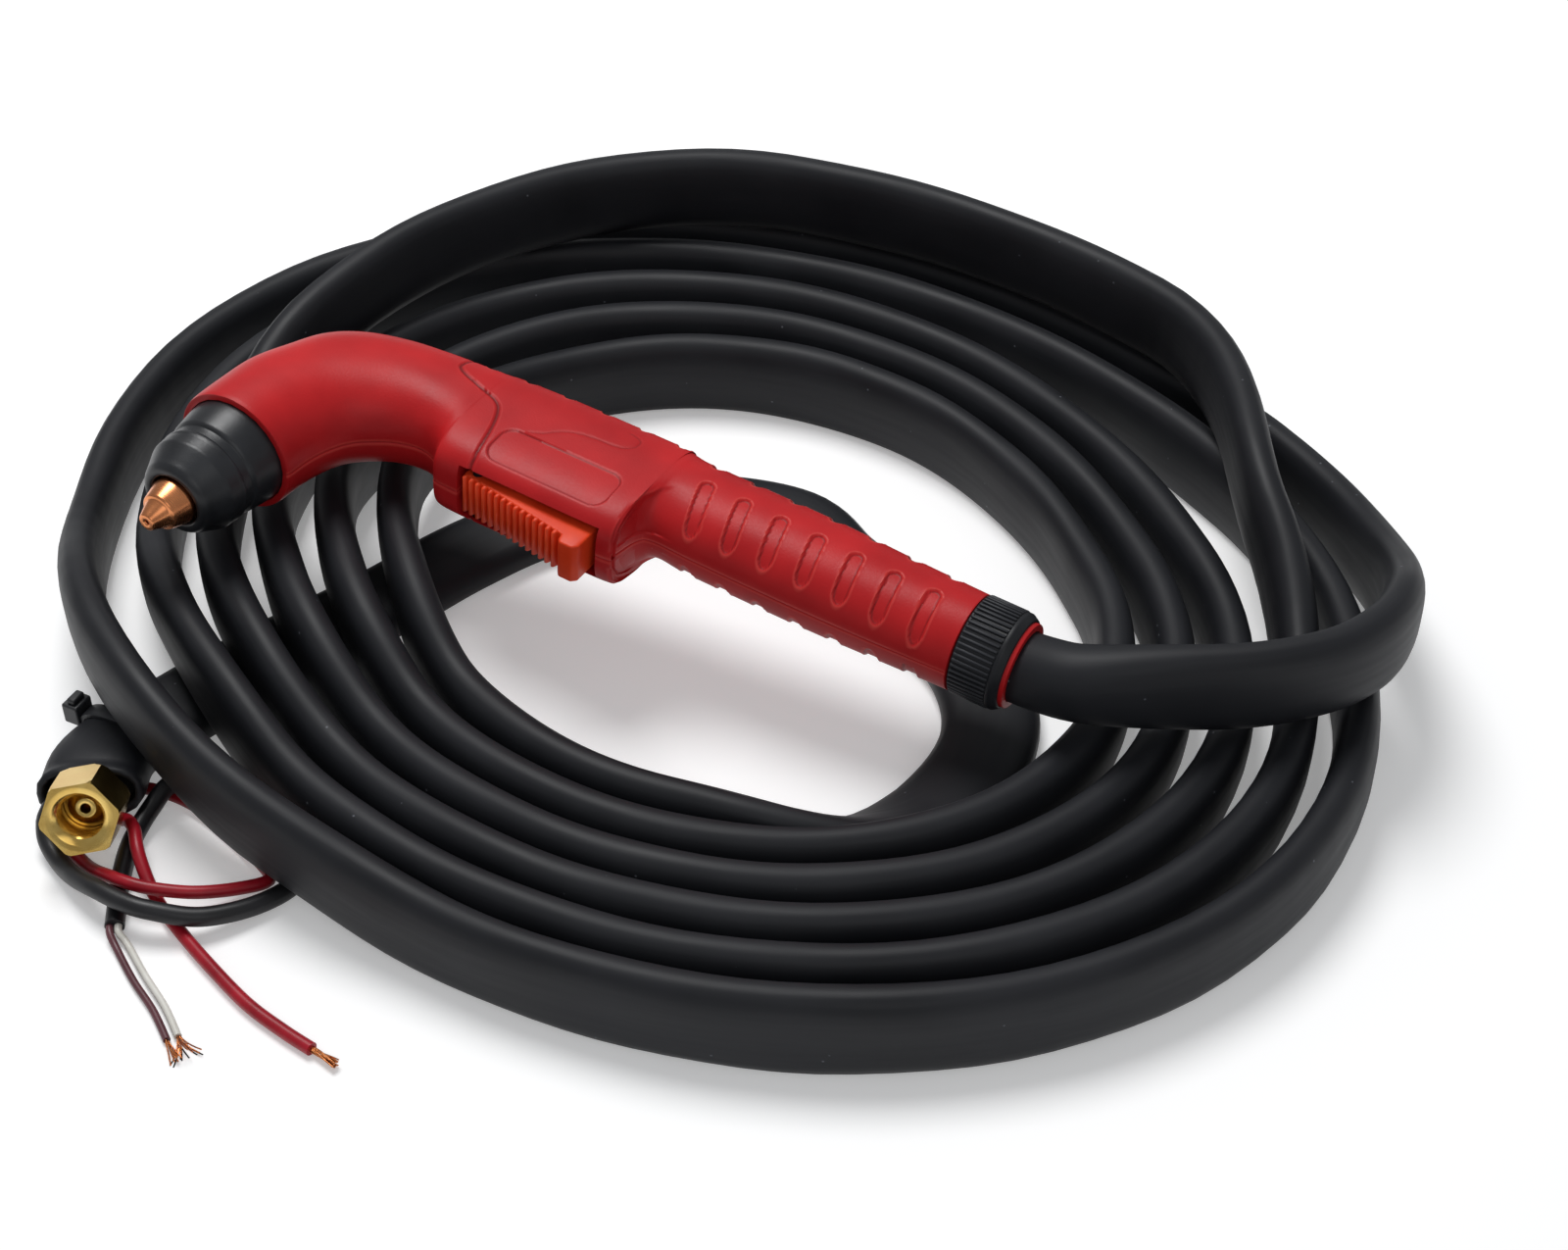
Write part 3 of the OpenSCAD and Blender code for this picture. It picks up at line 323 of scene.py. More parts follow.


# glass-filled nylon, moulded with a fine spark texture: satin, lighter along edges and rims, partly rubbed
# wear and partly painted highlight, and darker in its grooves as painted shade; the grain is drawn coarser
# than the real one so that it shows
redShell = finish("redShellNylon", "#c42124", "#ad1a1e", 22, 0.55, 0.034, (0.36, 0.48),
                  rubAndPaintedLight=("#dc5048", 0.5, "#5a0e10"), gloss=0.2)
# the same family of nylon, brighter and smoother, its rib tips painted paler as a highlight
redTrigger = finish("orangeTriggerNylon", "#ee4a22", "#de3c18", 9, 0.5, 0.012, (0.36, 0.46),
                    rubAndPaintedLight=("#f2603a", 0.2, "#8a1c0c"), gloss=0.25)
# phenolic-filled moulding: nearly black, semi-gloss with a fine grain
capMoulding = finish("blackCapMoulding", "#26282c", "#191a1d", 12, 0.35, 0.03, (0.3, 0.42), gloss=0.45)
# moulded nylon, handled often: satin black, its rib tips paler grey
collarMoulding = finish("blackCollarNylon", "#232428", "#17181b", 12, 0.4, 0.015, (0.4, 0.52), gloss=0.3,
                        rubAndPaintedLight=("#44464c", 0.45, "#0c0c0d"))
# polychloroprene sleeve: matte bluish black with faint lengthwise creases and caught dust, both drawn coarser
# than real so that they show
sheathRubber = finish("blackSleeveRubber", "#222327", "#17181c", 40, 0.5, 0.06, (0.46, 0.6), drawn=(2.4, 34),
                      specks=("#6c6f76", 3.4, 0.82), gloss=0.28)
# extruded rubber: dull black
hoseRubber = finish("blackHoseRubber", "#242528", "#191a1c", 14, 0.4, 0.02, (0.5, 0.62))
# moulded nitrile rubber: darker and a little glossier
sealRubber = finish("blackSealRubber", "#1c1d1f", "#131415", 6, 0.3, 0.008, (0.35, 0.45))
# soft vinyl jackets and insulation: smooth with a slight drag of the extruder
jacketVinyl = finish("blackJacketVinyl", "#222225", "#161618", 10, 0.3, 0.012, (0.36, 0.46), drawn=(0.8, 12),
                     gloss=0.4)
redVinyl = finish("redWireVinyl", "#b0182a", "#8c101e", 10, 0.3, 0.008, (0.32, 0.42), drawn=(0.8, 12),
                  gloss=0.35)
brownVinyl = finish("brownCoreVinyl", "#6b3a42", "#50282f", 8, 0.3, 0.008, (0.35, 0.45), drawn=(0.8, 12))
whiteVinyl = finish("whiteCoreVinyl", "#e8e6df", "#d2cfc6", 8, 0.3, 0.008, (0.35, 0.45), drawn=(0.8, 12))
# turned brass and copper: bright, with the fine rings that the tool leaves round them
turnedBrass = finish("turnedBrass", "#e8c878", "#d2aa58", 7, 0.3, 0.003, (0.16, 0.26), 1.0, drawn=(9, 0.3))
turnedCopper = finish("turnedCopper", "#ee9c68", "#d48658", 6, 0.3, 0.002, (0.22, 0.3), 1.0, drawn=(9, 0.28))
# drawn brass tube and pressed copper: duller, with a fine grain
tubeBrass = finish("drawnBrass", "#bf9645", "#9c772d", 9, 0.3, 0.01, (0.28, 0.4), 1.0)
electrodeCopper = finish("electrodeCopper", "#c8825a", "#9d5c38", 6, 0.3, 0.01, (0.28, 0.42), 1.0)
# drawn copper wire, slightly browned in air
strandCopper = finish("strandCopper", "#d68c58", "#a85f34", 1.5, 0.2, 0.004, (0.25, 0.4), 1.0)
# hafnium pressed into the electrode: grey and dull
hafniumGrey = finish("hafniumGrey", "#9a9da0", "#7c7f83", 1.5, 0.2, 0.005, (0.35, 0.5), 1.0)
# zinc-plated steel: pale grey, lightly mottled
zincSteel = finish("zincSteel", "#c2c5c8", "#9da1a5", 3, 0.25, 0.006, (0.25, 0.4), 1.0)
# steel pin, painted dark and dull so that it reads as the shade deep in the slot
blackedSteel = finish("blackedSteel", "#2a2b2e", "#1c1d1f", 3, 0.25, 0.006, (0.45, 0.6), 1.0)
# moulded glass-filled insulators: sandy and matte in the head, paler in the swirl ring
headInsulator = finish("headInsulator", "#cdb98e", "#b39d72", 8, 0.35, 0.015, (0.5, 0.65))
swirlInsulator = finish("swirlInsulator", "#d8d2c2", "#bfb8a6", 6, 0.3, 0.01, (0.45, 0.6))
# plain moulded nylon of the switch, the clamp and the tie, and the switch's red button
switchPlastic = finish("switchPlastic", "#2a2b2f", "#1d1e21", 8, 0.3, 0.01, (0.4, 0.55))
buttonPlastic = finish("switchButtonPlastic", "#c33a30", "#a12b24", 5, 0.3, 0.008, (0.35, 0.5))
print("finishes made")

# lead: how its flattened sheath lies; places along the coil are in turns from its start
lead = {"width": 26.0, "thick": 11.0, "round": 19.0, "turns": 6.1, "firstTurn": 0.1, "half": (199.0, 157.5),
        "step": (18.4, 13.4), "centre": (107.5, 72.0), "drift": (2.5, -1.6), "start": 30.0, "skew": 0.04,
        "raise": 27.5, "raiseTurns": (1.93, 0.09, 2.36, 0.14), "swing": 2.0,
        "swingTurns": (1.995, 0.105, 2.23, 0.16), "bulge": 8.0, "bulgeTurn": (0.56, 0.12), "closeUp": 1.1,
        "closeFrom": 2.75, "closeSide": 125, "slack": 42.0, "slackTurn": (5.78, 0.7),
        "rollTurn": (5.72, 0.16), "overTail": (1.1, 5.75), "innerClimb": (56, 34),
        "outerClimb": (64, 34), "overWires": (6.7, 24, 84),
        "mouth": (27.0, 14.0), "leanCut": 1.1, "wall": 1.7, "ringStep": 2.5, "sides": 28, "corner": 0.7,
        "girth": 64}
tailRoute = [(112, 110.5), (90, 106), (66, 92), (48, 73), (37, 49), (30, 24), (22, 0), (14, -22), (9, -42)]
tailLift = [(7.3, -49, 5), (7.2, -55, 6.8), (7.3, -60, 7.3), (8.2, -66, 8.6), (10.2, -71.8, 9.6)]
riseRoute = [(224, 51, -17.6), (232, 53, -16.8), (240, 56.6, -16.6), (250, 62, -16.5), (262, 69.6, -16.5),
             (273, 79, -16.5), (281.5, 90, -16.8), (286, 104, -18.2), (285.8, 119, -21.6), (281.5, 135, -29),
             (273.4, 152, -36.5), (261.4, 168.4, -42), (246, 183, -44.6), (229, 194.5, -45),
             (211, 203.6, -45.1)]
nut = {"front": (26.5, -95.5, -38.0), "yaw": -57.5, "rise": 23.0, "turn": 39.0, "flats": 18.0, "length": 14.0,
       "bore": 11.4, "standoff": 5.0, "shift": 1.5, "seat": 3.0, "relief": 4.0, "stem": 7.0, "pitch": 1.25}
yaw, rise = math.radians(nut["yaw"]), math.radians(nut["rise"])
leadAxis = np.array([math.cos(yaw) * math.cos(rise), math.sin(yaw) * math.cos(rise), math.sin(rise)])
leadSide = np.array([math.sin(yaw), -math.cos(yaw), 0.0])
leadUp = np.cross(leadSide, leadAxis)
nutBack = np.array(nut["front"]) - leadAxis * nut["length"]
mouth = nutBack - leadAxis * nut["standoff"] + leadSide * nut["shift"]
floorZ = torch["floorZ"]


def atMouth(side, up, out=0.0):
    return mouth + leadSide * side + leadUp * up + leadAxis * out


def hump(s, a, b, c, d):
    return smooth((s - a) / b) - smooth((s - c) / d)


def beside(x, a, b):
    return smooth((x - a + 20) / 18) * smooth((b + 20 - x) / 18)


def coilRows(s):  # x, y, z, roll, width and thickness of the sheath at the turns s
    w = np.radians(lead["start"] + 360 * s)
    closing = lead["closeUp"] * np.maximum(0, np.cos(w - math.radians(lead["closeSide"]))) ** 1.5
    closing = np.where(s < lead["closeFrom"], 0, closing)
    swung = lead["swing"] * hump(s, *lead["swingTurns"])
    e = s - closing - swung
    a, b = [lead["half"][k] - lead["step"][k] * e for k in (0, 1)]
    at, reach = lead["bulgeTurn"]
    bulged = np.where(np.abs(s - at) > reach, 0, lead["bulge"] * np.cos(math.pi / 2 * (s - at) / reach) ** 2)
    at, reach = lead["slackTurn"]
    slack = np.where(s < at, 0, lead["slack"] * np.sin(math.pi * np.clip((s - at) / reach, 0, 1)) ** 2)
    r = (1 - lead["skew"] * np.sin(2 * w)) / np.hypot(np.cos(w) / a, np.sin(w) / b) + bulged - slack
    x = lead["centre"][0] + lead["drift"][0] * s + r * np.cos(w)
    y = lead["centre"][1] + lead["drift"][1] * s + r * np.sin(w)
    roll = smooth((s - lead["rollTurn"][0]) / lead["rollTurn"][1])
    far = distanceToPath(np.stack([x, y], 1), tailRoute)
    # the turns climb over the lying tail, the outermost also over the wires
    top = lead["thick"] - lead["leanCut"]
    inner = top + 2 * lead["leanCut"] + 0.3
    outer = inner + 3.4 + lead["leanCut"] + 0.6
    innerLift = inner * smooth((lead["innerClimb"][0] - far) / lead["innerClimb"][1])
    outerLift = outer * smooth((lead["outerClimb"][0] - far) / lead["outerClimb"][1])
    wireLift = np.where(y < 0, lead["overWires"][0] * beside(x, *lead["overWires"][1:]), 0)
    second, last = lead["overTail"]
    climb = np.where(s > last, 0, np.where(s > second, innerLift, np.maximum(outerLift, wireLift)))
    z = mix(uprightZ, lyingZ, roll) + lead["raise"] * hump(s, *lead["raiseTurns"]) + climb
    return np.stack([x, y, z, 90 * roll, 0 * s + lead["width"], 0 * s + lead["thick"]], 1)


uprightZ = floorZ + lead["width"] / 2 - lead["leanCut"]
lyingZ = floorZ + lead["thick"] / 2 - lead["leanCut"]
coilPath = coilRows(np.linspace(lead["firstTurn"], lead["turns"], 721))
ease = np.hanning(11) / np.hanning(11).sum()  # the sheath is stiff on edge, so its humps are long and soft
coilPath[5:-5, 2] = np.convolve(coilPath[:, 2], ease, "valid")
entryAim, leaveAim = unit(coilPath[1, :3] - coilPath[0, :3]), unit(coilPath[-1, :3] - coilPath[-2, :3])
inside = [torchPoint(x, torch["axisY"], 0) for x in (190, 198, 206, collarEnd + 2)]
risePoints = [*inside, *riseRoute, coilPath[0, :3] - entryAim * lead["thick"], coilPath[0, :3]]
flatter = [smooth((i - 3) / 5) for i in range(len(risePoints))]
riseRows = [(*p, 0, mix(lead["round"], lead["width"], f), mix(lead["round"], lead["thick"], f))
            for p, f in zip(risePoints, flatter)]
tailPoints = [coilPath[-1, :3], coilPath[-1, :3] + leaveAim * lead["thick"],
              *[(x, y, lyingZ) for x, y in tailRoute], *[(x, y, floorZ + z) for x, y, z in tailLift],
              mouth - leadAxis * 5, mouth]
swell = [0.0] * (len(tailPoints) - 4) + [0.35, 0.75, 1.0, 1.0]
tailRows = [(*p, 90, mix(lead["width"], lead["mouth"][0], f), mix(lead["thick"], lead["mouth"][1], f))
            for p, f in zip(tailPoints, swell)]
sheathRows, sheathLength = evenly(np.vstack([throughPoints(riseRows, 12), coilPath[1:-1],
                                             throughPoints(tailRows, 12)]), lead["ringStep"])


def sectionAngles(count):  # angles that space the flattened outline's points evenly
    a = np.linspace(0, 2 * math.pi, 2001)
    outline = np.stack([lead["thick"] / 2 * signedPower(np.cos(a), lead["corner"]),
                        lead["width"] / 2 * signedPower(np.sin(a), lead["corner"])], 1)
    run = np.concatenate([[0], np.cumsum(np.linalg.norm(np.diff(outline, axis=0), axis=1))])
    return np.interp(np.linspace(0, run[-1], count, endpoint=False), run, a)


def sheathRings(rows):
    middle, roll = rows[:, :3], np.radians(rows[:, 3])[:, None]
    aim = unit(np.gradient(middle, axis=0))
    last = smooth((np.arange(len(rows)) - len(rows) + 5) / 4)[:, None]
    aim = unit(mix(aim, leadAxis, last))
    side = unit(np.stack([aim[:, 1], -aim[:, 0], 0 * aim[:, 0]], 1))
    up = np.cross(side, aim)
    a = sectionAngles(lead["sides"])
    wide, thick = rows[:, 4:5], rows[:, 5:6]
    power = 2 / mix(2.0, 2.8, np.clip((wide - thick) / 15, 0, 1))
    run = np.arange(len(rows))[:, None] * lead["ringStep"]
    dent = 0.14 * np.sin(run / 23 + 1.4 * np.sin(run / 71))  # slow and quick unevenness of soft rubber
    dent = dent + 0.1 * np.sin(run / 8.7 + 3 * np.sin(a + run / 160))
    p = (thick / 2 + dent) * signedPower(np.cos(a), power)
    q = (wide / 2 + dent) * signedPower(np.sin(a), power)
    out = (middle[:, None, :] + (p * np.cos(roll) + q * np.sin(roll))[..., None] * side[:, None, :]
           + (q * np.cos(roll) - p * np.sin(roll))[..., None] * up[:, None, :])
    out[..., 2] = np.maximum(out[..., 2], floorZ)
    return out


sheath = sheathRings(sheathRows)
centre = sheath[-1].mean(0)  # the mouth's rim turns in and goes back down the bore
for inset, out in [(0.25, 0.5), (0.6, 0.8), (1.0, 0.5), (1.15, -0.4), (1.2, -3.5), (1.2, -8.0)]:
    shrunk = []
    for point in sheath[len(sheathRows) - 1]:
        s, u = (point - centre) @ leadSide, (point - centre) @ leadUp
        off = inset * lead["wall"]
        shrunk.append(centre + leadSide * s * (1 - off / (lead["mouth"][0] / 2))
                      + leadUp * u * (1 - off / (lead["mouth"][1] / 2)) + leadAxis * out)
    sheath = np.concatenate([sheath, [shrunk]])
ringNumbers = np.concatenate([np.arange(len(sheathRows)), len(sheathRows) + 0.4 * np.arange(6)])
leadSheath = ringGrid("leadSheath", sheath, Matrix.Identity(4), across=lead["girth"] * mm,
                      along=ringNumbers * lead["ringStep"] * mm, sharp=60)
print("lead laid:", round(sheathLength / 1000, 3), "m,", len(sheathRows), "rings")


# wires
wires = {"controlD": 5.0, "pilotD": 3.4, "coreD": 1.9, "sides": 14, "step": 1.2, "strand": 0.19}
controlRoute = [
    (9.9, -92.2, 7.4), (12, -94.8, 5), (15.8, -97, 3.4), (21.7, -99.6, 3.4), (29, -102.3, 5.6),
    (37, -104, 7.8), (46, -104.4, 8.2), (53, -103, 7.8), (63, -97.5, 5.6), (70, -88, 3.6), (74, -78, 2.7),
    (73.5, -71, 2.7), (66, -67, 2.7), (54, -63, 2.7), (42, -60, 3.6), (33, -60.5, 6.2), (28, -66, 7),
    (27.4, -73, 4.6), (28.3, -80, 2.8), (31.4, -87.4, 2.7), (37, -96.6, 2.7), (41.5, -102.8, 2.7),
    (45.4, -108.1, 2.7)]
pilotRoute = [
    (14.8, -89.6, 4.6), (16.4, -91.8, 2.6), (18.8, -93.4, 1.9), (22, -94.4, 1.9), (26, -95.8, 2.6),
    (30.5, -97.2, 4.4), (35.5, -98.2, 6.4), (40.5, -98.6, 7.5), (47.5, -97, 7.2), (57, -91.5, 5.6),
    (64.5, -83, 3.4), (67.5, -76, 1.9), (60, -72, 1.9), (48, -68, 1.9), (37, -65.5, 1.9), (28, -65, 1.9),
    (19.5, -66.5, 1.9), (13.8, -70.5, 1.9), (13.6, -75.6, 1.9), (18.4, -79.2, 2), (22.4, -79.4, 3.1),
    (26.2, -80.5, 5.7), (31.8, -83.9, 8.1), (36, -87.9, 8.1), (39.8, -90.9, 6.4), (45.2, -94.3, 3.6),
    (50.6, -97, 1.9), (58, -100.2, 1.9), (71, -105.2, 1.9), (88, -110.8, 1.9), (101, -113.2, 1.9),
    (110.5, -114.3, 1.9)]
brownRoute = [(50, -112.8, 1.3), (60, -118.4, 1.1), (70, -123.1, 1.1), (79, -128.6, 1.1)]
whiteRoute = [(51, -110.2, 1.3), (61.4, -115.8, 1.1), (71.8, -120.9, 1.1), (80.5, -126.4, 1.1)]


def lifted(route):
    return [np.array((x, y, z + floorZ)) for x, y, z in route]


def wirePiece(name, points, d):
    rows, length = evenly(throughPoints(points, 10), wires["step"])
    aim = unit(np.gradient(rows, axis=0))
    side = unit(np.stack([aim[:, 1], -aim[:, 0], 0 * aim[:, 0]], 1))
    up = np.cross(side, aim)
    a = np.linspace(0, 2 * math.pi, wires["sides"], endpoint=False)
    rings = rows[:, None, :] + d / 2 * (np.cos(a)[None, :, None] * side[:, None, :]
                                        + np.sin(a)[None, :, None] * up[:, None, :])
    rings[..., 2] = np.maximum(rings[..., 2], floorZ)
    piece = ringGrid(name, rings, Matrix.Identity(4), across=math.pi * d * mm,
                     along=np.linspace(0, length * mm, len(rows)), sharp=50)
    return piece, rows, length


def declareWire(piece, rows, length, d, node, slot, material, tip, stiffness="limp"):
    declare(piece, "torch_and_lead", slot, material, node)


def strandTree():
    tree, given = newTree("bareStrands", Count="Int", Disc="Float", Length="Float", Flare="Float",
                          Twist="Float", Thickness="Float", Seed="Int", Finish="Material")
    turn = add(tree, "FunctionNodeRandomValue", {"Max": 2 * math.pi, "Seed": given["Seed"]},
               data_type="FLOAT")
    seedTwo = add(tree, "ShaderNodeMath", {0: given["Seed"], 1: 7.0}, operation="ADD")
    far = add(tree, "FunctionNodeRandomValue", {"Seed": seedTwo}, data_type="FLOAT")
    root = add(tree, "ShaderNodeMath", {0: far.outputs[1]}, operation="SQRT")
    reach = add(tree, "ShaderNodeMath", {0: root, 1: given["Disc"]}, operation="MULTIPLY")
    cosine = add(tree, "ShaderNodeMath", {0: turn.outputs[1]}, operation="COSINE")
    sine = add(tree, "ShaderNodeMath", {0: turn.outputs[1]}, operation="SINE")
    aim = add(tree, "ShaderNodeCombineXYZ", {0: cosine, 1: sine})
    spot = add(tree, "ShaderNodeVectorMath", {0: aim, "Scale": reach}, operation="SCALE")
    dots = add(tree, "GeometryNodePoints", {"Count": given["Count"], "Position": spot})
    leanMix = add(tree, "FunctionNodeRandomValue",
                  {0: (-1, -1, -0.25), 1: (1, 1, 0.15), "Seed": given["Seed"]}, data_type="FLOAT_VECTOR")
    kept = add(tree, "GeometryNodeStoreNamedAttribute", {0: dots, "Name": "lean", 3: leanMix},
               data_type="FLOAT_VECTOR")
    top = add(tree, "ShaderNodeCombineXYZ", {2: given["Length"]})
    line = add(tree, "GeometryNodeCurvePrimitiveLine", {"End": top})
    cut = add(tree, "GeometryNodeResampleCurve", {0: line, "Count": 7})
    placed = add(tree, "GeometryNodeInstanceOnPoints", {"Points": kept, "Instance": cut})
    whole = add(tree, "GeometryNodeRealizeInstances", {0: placed})
    lean = add(tree, "GeometryNodeInputNamedAttribute", {"Name": "lean"}, data_type="FLOAT_VECTOR")
    along = add(tree, "GeometryNodeSplineParameter")
    square = add(tree, "ShaderNodeMath", {0: along, 1: 1.7}, operation="POWER")
    spread = add(tree, "ShaderNodeMath", {0: square, 1: given["Flare"]}, operation="MULTIPLY")
    off = add(tree, "ShaderNodeVectorMath", {0: lean, "Scale": spread}, operation="SCALE")
    fromAxis = add(tree, "GeometryNodeInputPosition")
    swirl = add(tree, "ShaderNodeMath", {0: along, 1: given["Twist"]}, operation="MULTIPLY")
    wound = add(tree, "ShaderNodeVectorRotate", {"Vector": fromAxis, "Angle": swirl},
                rotation_type="Z_AXIS")
    there = add(tree, "ShaderNodeVectorMath", {0: wound, 1: off}, operation="ADD")
    moved = add(tree, "GeometryNodeSetPosition", {0: whole, "Position": there})
    ring = add(tree, "GeometryNodeCurvePrimitiveCircle", {"Resolution": 6, "Radius": given["Thickness"]})
    tube = add(tree, "GeometryNodeCurveToMesh", {0: moved, 1: ring, "Fill Caps": True})
    endTree(tree, tube, given["Finish"])
    return tree


bareStrands = strandTree()


def strandPiece(name, rows, count, disc, long, flare, twist, seed):
    piece = runTree(emptyPiece(name), bareStrands, Count=count, Disc=disc, Length=long, Flare=flare,
                    Twist=twist, Thickness=wires["strand"], Seed=seed, Finish=strandCopper)
    aim = Vector(unit(rows[-1] - rows[-3]))
    start = Vector(rows[-1] - unit(rows[-1] - rows[-3]) * 0.8)
    turned = aim.to_track_quat("Z", "Y").to_matrix().to_4x4()
    piece.data.transform(Matrix.Translation(start) @ turned)
    points = np.array([v.co for v in piece.data.vertices])
    points[:, 2] = np.maximum(points[:, 2], floorZ + 0.05)
    piece.data.vertices.foreach_set("co", (points * mm).astype(np.float32).ravel())
    piece.data.shade_smooth()
    declare(piece, "torch_and_lead", "copper_strand", None, "copper_ends")
    return piece


controlStart = [atMouth(9.2, -3.2, -6), atMouth(9.6, -3.4), atMouth(9.6, -3.4, 2.6)]
controlCable, controlRows, controlLength = wirePiece(
    "controlCable", [*controlStart, *lifted(controlRoute)], wires["controlD"])
pilotStart = [atMouth(4.4, -4.4, -6), atMouth(4.6, -4.9), atMouth(4.6, -4.9, 2.0)]
pilotWire, pilotRows, pilotLength = wirePiece(
    "pilotWire", [*pilotStart, *lifted(pilotRoute)], wires["pilotD"])
controlAim = unit(controlRows[-1] - controlRows[-3])
coreSide = unit(np.array([-controlAim[1], controlAim[0], 0])) * (wires["coreD"] / 2 + 0.1)
cores = {}
for name, side, route in (("brownCore", -1, brownRoute), ("whiteCore", 1, whiteRoute)):
    start = controlRows[-1] + coreSide * side
    points = [start - controlAim * 2, start + controlAim * wires["coreD"], *lifted(route)]
    cores[name] = wirePiece(name, points, wires["coreD"])
pilotTip = strandPiece("pilotStrands", pilotRows, 19, 0.85, 8.5, 0.9, 1.6, 3)
brownTip = strandPiece("brownStrands", cores["brownCore"][1], 10, 0.5, 7.5, 1.5, 0.9, 5)
whiteTip = strandPiece("whiteStrands", cores["whiteCore"][1], 12, 0.5, 8.0, 4.6, 0.5, 11)
declareWire(controlCable, controlRows, controlLength, wires["controlD"], "control_cable", "black_jacket",
            jacketVinyl, [], stiffness="medium")
declareWire(pilotWire, pilotRows, pilotLength, wires["pilotD"], "pilot_wire", "red_insulation",
            redVinyl, [pilotTip])
declareWire(*cores["brownCore"], wires["coreD"], "core_brown", "brown_insulation", brownVinyl, [brownTip])
declareWire(*cores["whiteCore"], wires["coreD"], "core_white", "white_insulation", whiteVinyl, [whiteTip])
print("wires laid:", round(controlLength), "and", round(pilotLength), "mm")

# brass end of the lead
nutPose = (Matrix.Translation(nutBack) @ Matrix.Rotation(yaw, 4, "Z")
           @ Matrix.Rotation(math.pi / 2 - rise, 4, "Y"))


def nutOutline():
    n, b = nut, nut["bore"] / 2
    outside = [(20, z) for z in np.linspace(0.001, n["length"], 34)]
    face = [(n["flats"] / 2 - 0.4, n["length"]), (b + 1.6, n["length"]), (b + 1.2, n["length"] - 0.15)]
    thread = [(b, z) for z in np.linspace(n["length"] - 1.1, n["seat"] + n["relief"], 56)]
    back = [(b + 0.6, n["seat"] + n["relief"] - 0.4), (b + 0.6, n["seat"] + 0.2), (b + 0.4, n["seat"]),
            (n["stem"] / 2 + 0.3, n["seat"]), (n["stem"] / 2 + 0.3, 0.3), (n["stem"] / 2 + 0.6, 0.0),
            (n["flats"] / 2 - 0.6, 0.0)]
    return np.array(outside + face + thread + back), len(outside), len(outside) + len(face), len(thread)


def nutShape(profile, angle):
    _, outer, threadFrom, threadCount = nutOutline()
    r = profile[:, 0][:, None] * np.ones(len(angle))
    z = profile[:, 1][:, None]
    inHex = np.abs((np.degrees(angle) + 30) % 60 - 30)
    hexagon = nut["flats"] / 2 / np.cos(np.radians(30 - inHex))
    front = mix(nut["flats"] / 2 + 5.2, nut["flats"] / 2 + 1.0, z / nut["length"])
    rear = mix(nut["flats"] / 2 + 0.6, nut["flats"] / 2 + 8, z / nut["length"])
    body = np.minimum(np.minimum(hexagon[None, :], front), rear)
    r[:outer] = body[:outer]
    t = slice(threadFrom, threadFrom + threadCount)
    wave = np.abs(((z[t] / nut["pitch"] - angle[None, :] / (2 * math.pi)) % 1) * 2 - 1)
    fade = smooth((z[t] - nut["seat"] - nut["relief"]) / 0.8)
    r[t] = nut["bore"] / 2 + 0.5 * (wave - 0.35) * fade
    return r


unionNut = lathe("unionNut", nutOutline()[0], nutPose @ Matrix.Rotation(math.radians(nut["turn"]), 4, "Z"),
                 segments=192, shape=nutShape, sharp=24)
declare(unionNut, "nut", "turned_brass", turnedBrass, "union_nut")

stem, gap = nut["stem"] / 2, nut["standoff"]
nippleProfile = rounded([
    (1.3, 1), (1.3, gap + 6.75), (stem - 0.8, gap + 6.75), (5.05, gap + 4.15), (5.1, gap + 3.2),
    (stem, gap + 3.15), (stem, gap - 0.3), (stem + 1.5, gap - 0.3), (stem + 1.5, 1.2), (stem + 0.9, 0.8),
    (stem + 0.9, -0.2), (stem + 1.5, -0.6), (stem + 1.5, -6)], 0.25, 2)
hoseNipple = lathe("hoseNipple", nippleProfile, nutPose @ Matrix.Translation((0, 0, -gap)), 64, loop=False)
declare(hoseNipple, "torch_and_lead", "turned_brass", turnedBrass, "hose_nipple")

# nylon tie round the sheath, its head at one edge
tie = {"place": (7.2, -57.5, -49.9), "turn": -86.0, "wide": 4.6, "band": (27.6, 12.6), "strap": 1.3,
       "head": (-18.6, -13.6, 0.5, 6.7, -3.2, 3.2), "stub": (-17.3, -14.7, 6.7, 8.3, -2.3, 2.3)}
tiePose = (Matrix.Translation(tie["place"]) @ Matrix.Rotation(math.radians(tie["turn"] + 90), 4, "Z")
           @ Matrix.Rotation(math.radians(90), 4, "X"))
loopAngle = sectionAngles(72)
bandRings = []
for a in loopAngle:
    wide, high = tie["band"]
    middle = np.array([(wide / 2) * signedPower(np.sin(a), lead["corner"]),
                       (high / 2) * signedPower(np.cos(a), lead["corner"])])
    out = unit(np.array([signedPower(np.sin(a), 1.3) / wide, signedPower(np.cos(a), 1.3) / high]))
    half, strap = tie["wide"] / 2, tie["strap"] / 2
    ring = [(strap, half - 0.3), (strap - 0.25, half), (-strap, half), (-strap, -half), (strap - 0.25, -half),
            (strap, -half + 0.3)]
    bandRings.append([(*(middle + out * o), z) for o, z in ring])
tieBand = ringGrid("tieBand", bandRings, tiePose, loop=True, sharp=45)
headPoints, headFaces = [], []
for x0, x1, y0, y1, z0, z1 in (tie["head"], tie["stub"]):
    k = len(headPoints)
    headPoints += [(x, y, z) for x in (x0, x1) for y in (y0, y1) for z in (z0, z1)]
    headFaces += [[k + i for i in f] for f in ((0, 1, 3, 2), (4, 6, 7, 5), (0, 4, 5, 1), (2, 3, 7, 6),
                                               (0, 2, 6, 4), (1, 5, 7, 3))]
tieHead = bevelled(meshPiece("tieHead", headPoints, headFaces, tiePose), 0.0006, 3)
for piece in (tieBand, tieHead):
    declare(piece, "torch_and_lead", "black_moulding", switchPlastic, "cable_tie")

